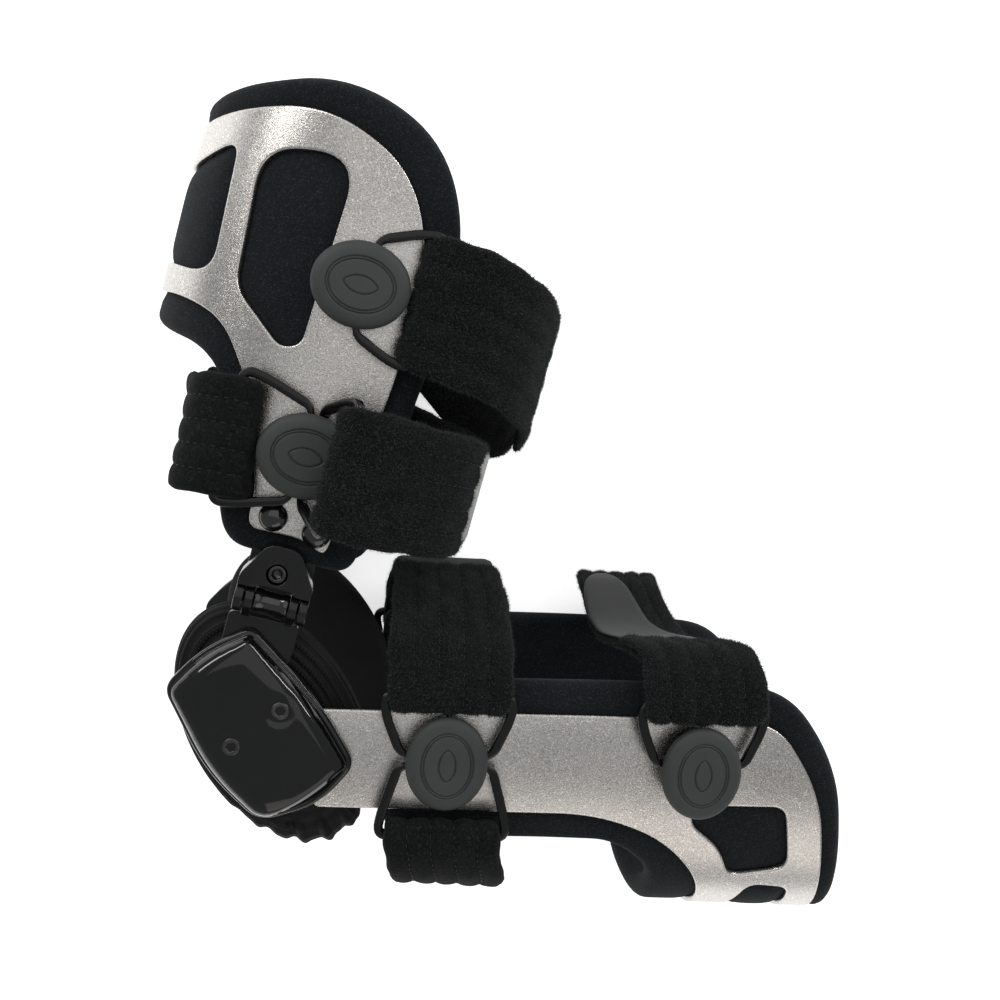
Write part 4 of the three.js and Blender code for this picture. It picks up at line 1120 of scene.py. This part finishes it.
both = SIDES.values()
screws = fixed_at(
    "cover_screws", "housing", [(*place, side * SCREW_TOP) for place in COVER_SCREWS for side in both],
    socket_screw(*COVER_SCREW_HEAD), SCREW_STEEL)
screw_nodes = [f"{label}_{end}_cover_screw" for label in SIDES for end in ("back", "front")]
stands_for(screws, "housing", "black", *screw_nodes)
screws = fixed_at(
    "bracket_screws", "thigh", [(*BRACKET_SCREW, side * BRACKET_SCREW_TOP) for side in both],
    socket_screw(*BRACKET_SCREW_HEAD), SCREW_STEEL)
stands_for(screws, "thigh", "black", *[f"{label}_bracket_screw" for label in SIDES])
rivets = fixed_at(
    "frame_rivets", "thigh",
    [(back, up, side * (thigh_cuff.face_side(back, up) + 0.1)) for back, up in RIVETS for side in both],
    rivet_dome(), RIVET_GLOSS)
rivet_nodes = [f"{label}_{end}_rivet" for label in SIDES for end in ("front", "back")]
stands_for(rivets, "thigh", "cover", *rivet_nodes)


# Studs and clips


def stud_cap(post_foot):
    """An oval cap on a post, domed at its rim, with a doubled oval line and a pointed lens on its top."""
    share = np.concatenate([np.linspace(0.012, 0.75, 76), np.linspace(0.77, 1, 14)])
    angle = np.linspace(0, 2 * math.pi, 120, endpoint=False)
    top = HALF_WIDTH - STUD_CAP - 0.1
    run = np.linspace(-1, 1, 41)
    half_long, half_high = STUD_LENS
    bow = half_high * (1 - np.abs(run) ** 2.2) ** 0.8
    upper = np.column_stack([half_long * run, bow])
    lens = np.vstack([upper, -upper[1:-1]])
    ovals = [np.column_stack([long * np.cos(angle), short * np.sin(angle)]) for long, short in STUD_OVALS]
    rim_back = STUD_LONG * np.cos(angle)
    rim_up = STUD_SHORT * np.sin(angle)
    rings = []
    for size in share:
        flat = np.column_stack([STUD_LONG * size * np.cos(angle), STUD_SHORT * size * np.sin(angle)])
        fall = np.clip((size - STUD_FLAT) / (1 - STUD_FLAT), 0, 1)
        high = np.full(len(angle), top - STUD_ROUND * (1 - math.sqrt(1 - fall**2 * 0.98)))
        off = distance_to(flat, [lens, *ovals])
        high -= STUD_LINE_DEEP * np.exp(-((off / STUD_LINE_HALF) ** 2))
        rings.append(np.column_stack([flat, high]))
    edge = [(1.003, 1.4), (0.998, 0.5), (0.985, 0.1), (0.96, 0)]
    for grow, high in (*edge, (STUD_POST, 0), (STUD_POST, -post_foot)):
        rings.append(np.column_stack([rim_back * grow, rim_up * grow, np.full(len(angle), high)]))
    return lofted(rings[::-1])


def swept(path, wide, thick):
    """A flat bar with bevelled edges along a flat path."""
    along = unit(np.gradient(path, axis=0))
    left = np.column_stack([-along[:, 1], along[:, 0]])
    corner = 0.28
    half = [
        (1, -1 + corner), (1, 0), (1, 1 - corner), (1 - corner / 2, 1 - corner / 4), (1 - corner, 1),
        (0, 1.06),
    ]
    section = half + [(-out, rise) for out, rise in half[-2::-1]]
    section += [(-out, -rise) for out, rise in section[3:-3]]
    out, rise = np.array(section).T
    rings = []
    for place, way, width in zip(path, left, wide):
        ring = place - np.outer(out, way) * width / 2
        rings.append(np.column_stack([ring, rise * thick / 2]))
    return lofted(rings)


def strap_clip(name, label, side):
    """A flat bail: two arms hooked under a stud's cap and a bar out at its reach."""
    clip = CLIPS[name]
    half = [
        (CLIP_PIVOT, 9, 0), (CLIP_PIVOT, 15.4, 3), (4, 17.4, 3), (clip.reach - 8, 22.4, 6),
        (clip.reach, 23.6, 4.5),
    ]
    rows = half + [(back, -up, easing) for back, up, easing in half[::-1]]
    path = respaced(rounded(rows, closed=False, steps=8), 0.9)
    near = np.clip(path[:, 0] - CLIP_PIVOT, 0, 3) / 3
    wide = CLIP_HOOK_WIDE + (CLIP_WIDE - CLIP_HOOK_WIDE) * near
    points, faces = swept(path, wide, CLIP_THICK)
    lift = math.radians(clip.tilt) if side > 0 else 0
    back, up, high = points.T
    back = back - CLIP_PIVOT
    tilted = np.column_stack([
        CLIP_PIVOT + back * math.cos(lift) - high * math.sin(lift), up,
        CLIP_SIDE + back * math.sin(lift) + high * math.cos(lift)])
    points = tilted * (clip.way, clip.way, 1) + (*STUDS[clip.stud], 0)
    piece = make(f"{label}_{name}_bail", limb_of(name), points, faces, CLIP_STEEL, side)
    stands_for(piece, limb_of(name), "clip", f"{label}_{name}_clip")


for limb, cuff in (("thigh", thigh_cuff), ("shin", shin_cuff)):
    held = {name: place for name, place in STUDS.items() if name.startswith(limb)}
    lowest = min(cuff.face_side(*place) for place in held.values())
    studs = fixed_at(
        f"{limb}_studs", limb, [(*place, side * STUD_CAP) for place in held.values() for side in both],
        stud_cap(STUD_CAP - lowest - GAP), STUD_RUBBER)
    stands_for(studs, limb, "stud", *[f"{label}_{name}_stud" for label in SIDES for name in held])
for label, side in SIDES.items():
    for name in CLIPS:
        strap_clip(name, label, side)


# Straps and tabs


def spline(knots, per_span=60):
    """Points along a smooth curve through knots."""
    knots = np.vstack([2 * knots[0] - knots[1], knots, 2 * knots[-1] - knots[-2]])
    found = []
    for first in range(len(knots) - 3):
        p0, p1, p2, p3 = knots[first : first + 4]
        t0 = 0
        t1 = t0 + np.linalg.norm(p1 - p0) ** 0.5
        t2 = t1 + np.linalg.norm(p2 - p1) ** 0.5
        t3 = t2 + np.linalg.norm(p3 - p2) ** 0.5
        t = np.linspace(t1, t2, per_span, endpoint=False)[:, None]
        a1 = (t1 - t) / (t1 - t0) * p0 + (t - t0) / (t1 - t0) * p1
        a2 = (t2 - t) / (t2 - t1) * p1 + (t - t1) / (t2 - t1) * p2
        a3 = (t3 - t) / (t3 - t2) * p2 + (t - t2) / (t3 - t2) * p3
        b1 = (t2 - t) / (t2 - t0) * a1 + (t - t0) / (t2 - t0) * a2
        b2 = (t3 - t) / (t3 - t1) * a2 + (t - t1) / (t3 - t1) * a3
        found.append((t2 - t) / (t2 - t1) * b1 + (t - t1) / (t2 - t1) * b2)
    return np.vstack([*found, knots[-2:-1]])


def outward(tangents, way):
    """Unit vectors out of the leg, beside a strap that runs from the outer to the inner side."""
    return unit(np.column_stack([-way * tangents[:, 2], np.zeros(len(tangents)), way * tangents[:, 0]]))


def at_shares(line, shares):
    along = lengths_along(line)
    return np.column_stack([np.interp(np.asarray(shares) * along[-1], along, column) for column in line.T])


def bar_of(name, side):
    """The middle of a clip's bar on one side."""
    clip = CLIPS[name]
    back, up = STUDS[clip.stud]
    lift = math.radians(clip.tilt) if side > 0 else 0
    arm = clip.reach - CLIP_PIVOT
    out = back + clip.way * (CLIP_PIVOT + arm * math.cos(lift))
    return np.array([out, up, side * (CLIP_SIDE + arm * math.sin(lift))])


def under_layer(name):
    """The strap's layer beside the leg, from the outer clip's bar to the inner one's."""
    ends = [bar_of(name, side) - (0, 0, side * STRAP_FOLD) for side in (1, -1)]
    return spline(np.vstack([ends[0], np.array(STRAPS[name].points, float), ends[1]]))


def strap_path(name):
    """A strap's middle line, with marks.

    The marks are how bare each face is, how far it spreads over its clip, its share of the layer, and how
    far it is round the outer fold.
    """
    way = CLIPS[name].way
    strap = STRAPS[name]
    layer = under_layer(name)
    length = lengths_along(layer)[-1]

    def lap(side, share):
        along = np.linspace(0, share, 60)[1:]
        places = along if side > 0 else 1 - along
        tangents = at_shares(np.gradient(layer, axis=0), places)
        close = np.exp(-((along * length / LAP_CLOSES) ** 2))
        offset = STRAP_WALL + GAP + (2 * STRAP_FOLD - STRAP_WALL - GAP) * close
        points = at_shares(layer, places) + outward(tangents, way) * offset[:, None]
        full, none = np.ones(len(along)), np.zeros(len(along))
        return np.column_stack([points, full, none, full, places, none])

    def fold(side):
        angle = np.linspace(0, math.pi, 25)
        turn = np.column_stack([-way * np.sin(angle), np.zeros(25), -side * np.cos(angle)])
        points = bar_of(name, side) + STRAP_FOLD * turn
        spread = np.clip((angle - math.radians(105)) / math.radians(60), 0, 1)
        turning = np.sin(angle) * (side > 0)
        return np.column_stack([points, np.ones(25), np.zeros(25), spread, np.full(25, side < 0), turning])

    share = np.linspace(0, 1, 160)[1:-1]
    bare = np.clip((share - strap.outer_lap) * length / PILE_FADE, 0, 1)
    bare *= np.clip((1 - strap.inner_lap - share) * length / PILE_FADE, 0, 1)
    none = np.zeros(len(share))
    under = np.column_stack([at_shares(layer, share), none + UNDER_PILE, bare, none, share, none])
    rows = np.vstack([
        lap(1, strap.outer_lap)[::-1], fold(1)[::-1], under, fold(-1), lap(-1, strap.inner_lap)])
    along = lengths_along(rows[:, :3])
    places = np.arange(0, along[-1], STRAP_PITCH)
    rows = np.column_stack([np.interp(places, along, column) for column in rows.T])
    for _ in range(3):
        rows[1:-1] = (rows[:-2] + 2 * rows[1:-1] + rows[2:]) / 4
    rows[:, 0] += strap.drawn * np.sin(math.pi * rows[:, 6]) ** 2
    return rows


def plush_strap(name, seed):
    """A ribbed plush strap folded round both clip bars, with its stitched rows and its pile."""
    way = CLIPS[name].way
    strap = STRAPS[name]
    rows = strap_path(name)
    path, (front, behind, spread, share, turning) = rows[:, :3], rows[:, 3:].T
    along = lengths_along(path)
    normal = outward(np.gradient(path, axis=0), -way)
    from_end = np.minimum(along, along[-1] - along)
    fray = 0.3 * np.sin(along / 5.1 + seed) + 0.2 * np.sin(along / 2.3 + 2 * seed)
    farther = np.clip(share / 0.6, 0, 1) ** 2
    half = STRAP_FOLD_HALF + (strap.far_half - STRAP_FOLD_HALF) * farther
    half += (strap.lap_half - STRAP_FOLD_HALF) * spread * (1 - farther) + fray * (0.3 + 0.7 * spread)
    half -= STRAP_END_NARROWS * np.clip(1 - from_end / STRAP_END, 0, 1) ** 2
    skewed = strap.skew * np.sin(math.pi * share) ** 2
    across = np.linspace(-1, 1, STRAP_COLUMNS)
    crest = np.abs(np.sin(math.pi * (across + 1) / 2 * STRAP_RIBS)) ** 0.6
    edge = np.sqrt(np.clip(1 - (np.clip(np.abs(across) - 0.92, 0, 1) / 0.08) ** 2, 0, 1))
    end = np.sqrt(np.clip(1 - (1 - np.clip(from_end / 1.6, 0, 1)) ** 2, 0.02, 1))

    def spots(column, sign, thick):
        """Points along the strap at one place across it, off its middle by a thickness."""
        found = path + sign * normal * np.reshape(thick, (-1, 1))
        loosened = strap.loose + across[column] * strap.loose_skew
        found[:, 0] += across[column] * skewed - way * turning * loosened
        found[:, 1] += across[column] * half
        found[:, 2] = np.maximum(found[:, 2], STRAP_FLOOR)
        return found

    points, uv, bare = [], [], []
    for sign, mark in ((1, front), (-1, behind)):
        columns = range(len(across)) if sign > 0 else range(len(across) - 2, 0, -1)
        for column in columns:
            swell = STRAP_WALL / 2 + mark * (STRAP_RIB * crest[column] - STRAP_VALLEY)
            wave = STRAP_WAVE * np.sin(along / 3.7 + 9 * across[column] + seed) * mark
            points.append(spots(column, sign, (swell + wave) * edge[column] * end))
            uv.append(np.column_stack([across[column] * half + sign * 100, along]))
            bare.append(mark)
    count, rings = len(points), len(path)
    points = np.stack(points, axis=1).reshape(-1, 3)
    uv = np.stack(uv, axis=1).reshape(-1, 2)
    bare = np.clip(np.stack(bare, axis=1).reshape(-1), 0.1, 1) * (points[:, 2] > STRAP_FLOOR + 1.6)
    _, faces = lofted([points[row * count : (row + 1) * count] for row in range(rings)], capped=False)
    wide = len(across)
    for row, turn in ((0, 1), (rings - 1, -1)):
        top = [row * count + place for place in range(wide)]
        under = [top[0]] + [row * count + count - place for place in range(1, wide - 1)] + [top[-1]]
        for place in range(wide - 1):
            face = [top[place], top[place + 1], under[place + 1], under[place]]
            face = list(dict.fromkeys(face))
            faces.append(face[::turn])
    piece = make(f"plush_{name}_strap", limb_of(name), points, faces, STRAP_PLUSH, uv=uv)
    marked(piece, "pile", bare)
    stands_for(piece, limb_of(name), "strap", f"{name}_strap")
    pile = fibres_on(piece, f"{name}_strap_pile", seed)
    stands_for(pile, limb_of(name), "strap")
    rib_columns = STRAP_COLUMNS // STRAP_RIBS
    valleys = range(rib_columns, STRAP_COLUMNS - 1, rib_columns)
    lines = []
    for sign, mark in ((1, front > 0.9), (-1, behind > 0.9)):
        runs = np.split(np.arange(rings), np.flatnonzero(np.diff(mark.astype(int))) + 1)
        for column in valleys:
            line = spots(column, sign, np.full(rings, STRAP_WALL / 2 + 0.05))
            lines += [line[run] for run in runs if mark[run[0]] and len(run) > 4]
    rows = stitched(f"{name}_strap_stitching", limb_of(name), lines, *STRAP_STITCHES)
    stands_for(rows, limb_of(name), "strap")


def hook_tab(name):
    """A thin smooth tongue on a strap's outer face, with eased edges."""
    tab = TABS[name]
    way = CLIPS[name].way
    layer = under_layer(name)
    share = np.linspace(0, 1, 70)
    places = tab.start + (tab.end - tab.start) * share
    tangents = at_shares(np.gradient(layer, axis=0), places)
    normal = outward(tangents, way)
    path = at_shares(layer, places) + normal * ((STRAP_WALL + TAB_WALL) / 2 + GAP + TAB_LIFT)
    width = tab.half + (tab.root_half - tab.half) * np.exp(-((share / TAB_ROOT) ** 2))
    width *= np.sqrt(np.clip(1 - 0.97 * share**tab.squareness, 0, 1))
    raised = tab.raised * np.minimum(2 * share, 1)
    across = np.linspace(-1, 1, 21)
    edge = np.sqrt(np.clip(1 - (np.clip(np.abs(across) - 0.95, 0, 1) / 0.05) ** 2, 0, 1))
    rings = []
    for place in range(len(path)):
        half_wall = np.outer(edge * TAB_WALL / 2, normal[place])
        top = path[place] + half_wall
        under = path[place] - half_wall
        shift = across * width[place] + raised[place]
        top[:, 1] += shift
        under[:, 1] += shift
        rings.append(np.vstack([top, under[-2:0:-1]]))
    points, faces = lofted(rings)
    if way > 0:
        faces = [face[::-1] for face in faces]
    piece = make(f"{name}_tab_tongue", limb_of(name), points, faces, TAB_LOOKS[name])
    stands_for(piece, limb_of(name), "tab", f"{name}_tab")


for seed, name in enumerate(STRAPS, start=3):
    plush_strap(name, seed)
for name in TABS:
    hook_tab(name)


# Floor, light and camera
FLOOR_HALF = 3
FLOOR_GLOW = 0.7
SKY_STRENGTH = 0.4
# Soft boxes, in metres: place, aim, width and height, watts, colour
SOFT_BOXES = {
    "key": ((-0.64, 0.77, 0.65), (-0.05, 0, 0.08), (0.8, 0.15), 4.4, (1, 0.985, 0.96)),
    "right edge": ((0.85, 0.62, 0.6), (-0.05, 0, 0.08), (0.7, 0.06), 3.5, (1, 0.99, 0.975)),
    "overhead": ((0.25, 0.7, 1.5), (0.1, 0.1, 0.08), (1.8, 1.8), 6, (1, 0.99, 0.975)),
    "front": ((0.2, -0.95, 0.75), (0, 0, 0.08), (0.8, 0.8), 1.9, (1, 0.94, 0.87)),
}
# The photograph's focal length and middle in pixels, where the leg's side direction vanishes in it, and
# the knee's pixel, height and depth from the camera in metres
FOCAL = 1350
MIDDLE = 500
SENSOR = 36
SIDE_PIXEL = (350, 312)
KNEE_PIXEL = (258, 728)
KNEE_HIGH = 0.154
KNEE_DEPTH = 0.4699


def floor():
    """A wide pale floor under the brace."""
    look, tree, shader = material(
        "pale_floor", Roughness=0.7, Emission_Color=(1, 1, 1, 1), Emission_Strength=FLOOR_GLOW)
    place = add(tree, "ShaderNodeTexCoord").outputs["Object"]
    cloud = add(tree, "ShaderNodeTexNoise", {"Vector": place, "Scale": 3, "Detail": 2})
    tone = add(tree, "ShaderNodeMix", {
        "Factor": cloud.outputs["Fac"], "A": (0.90, 0.90, 0.90, 1), "B": (0.93, 0.93, 0.93, 1),
    }, data_type="RGBA")
    tree.links.new(tone.outputs["Result"], shader.inputs["Base Color"])
    mesh = bpy.data.meshes.new("floor")
    corners = [(-1, -1), (1, -1), (1, 1), (-1, 1)]
    mesh.from_pydata([(FLOOR_HALF * x, FLOOR_HALF * y, 0) for x, y in corners], [], [[0, 1, 2, 3]])
    mesh.transform(Matrix.Translation((0, 0, -GAP * MM)))
    mesh.materials.append(look)
    linked("floor", mesh)


def soft_light(name, place, aim, size, power, colour):
    """A soft box, of a width and a height, that looks at a point."""
    lamp = bpy.data.lights.new(name, "AREA")
    lamp.shape = "RECTANGLE"
    lamp.size, lamp.size_y = size
    lamp.energy = power
    lamp.color = colour
    box = linked(name, lamp)
    box.location = place
    box.rotation_euler = (Vector(aim) - Vector(place)).to_track_quat("-Z", "Y").to_euler()


def photo_camera():
    """A camera at the photograph's angle, from one point's pixel and depth and the leg's side direction."""

    def ray(pixel):
        return Vector(((pixel[0] - MIDDLE) / FOCAL, (MIDDLE - pixel[1]) / FOCAL, -1))

    side_axis = -ray(SIDE_PIXEL).normalized()
    up_axis = (Vector((0, 1, 0)) - side_axis * side_axis.y).normalized()
    across_axis = up_axis.cross(side_axis)
    turn = Matrix((across_axis, up_axis, side_axis))
    point = Vector((knee[0] * MM, knee[1] * MM, KNEE_HIGH))
    lens = bpy.data.cameras.new("photo_camera")
    lens.sensor_width = SENSOR
    lens.lens = SENSOR * FOCAL / (2 * MIDDLE)
    lens.clip_start = 0.01
    eye = linked("photo_camera", lens)
    eye.matrix_world = Matrix.Translation(point - turn @ (ray(KNEE_PIXEL) * KNEE_DEPTH)) @ turn.to_4x4()
    bpy.context.scene.camera = eye


def studio():
    """An even pale surround and the soft boxes."""
    world = bpy.data.worlds.new("studio")
    world.use_nodes = True
    sky = world.node_tree.nodes["Background"]
    sky.inputs["Color"].default_value = (0.96, 0.98, 1, 1)
    sky.inputs["Strength"].default_value = SKY_STRENGTH
    bpy.context.scene.world = world
    for name, row in SOFT_BOXES.items():
        soft_light(name, *row)


floor()
studio()
photo_camera()
bpy.context.scene.view_settings.view_transform = "Standard"
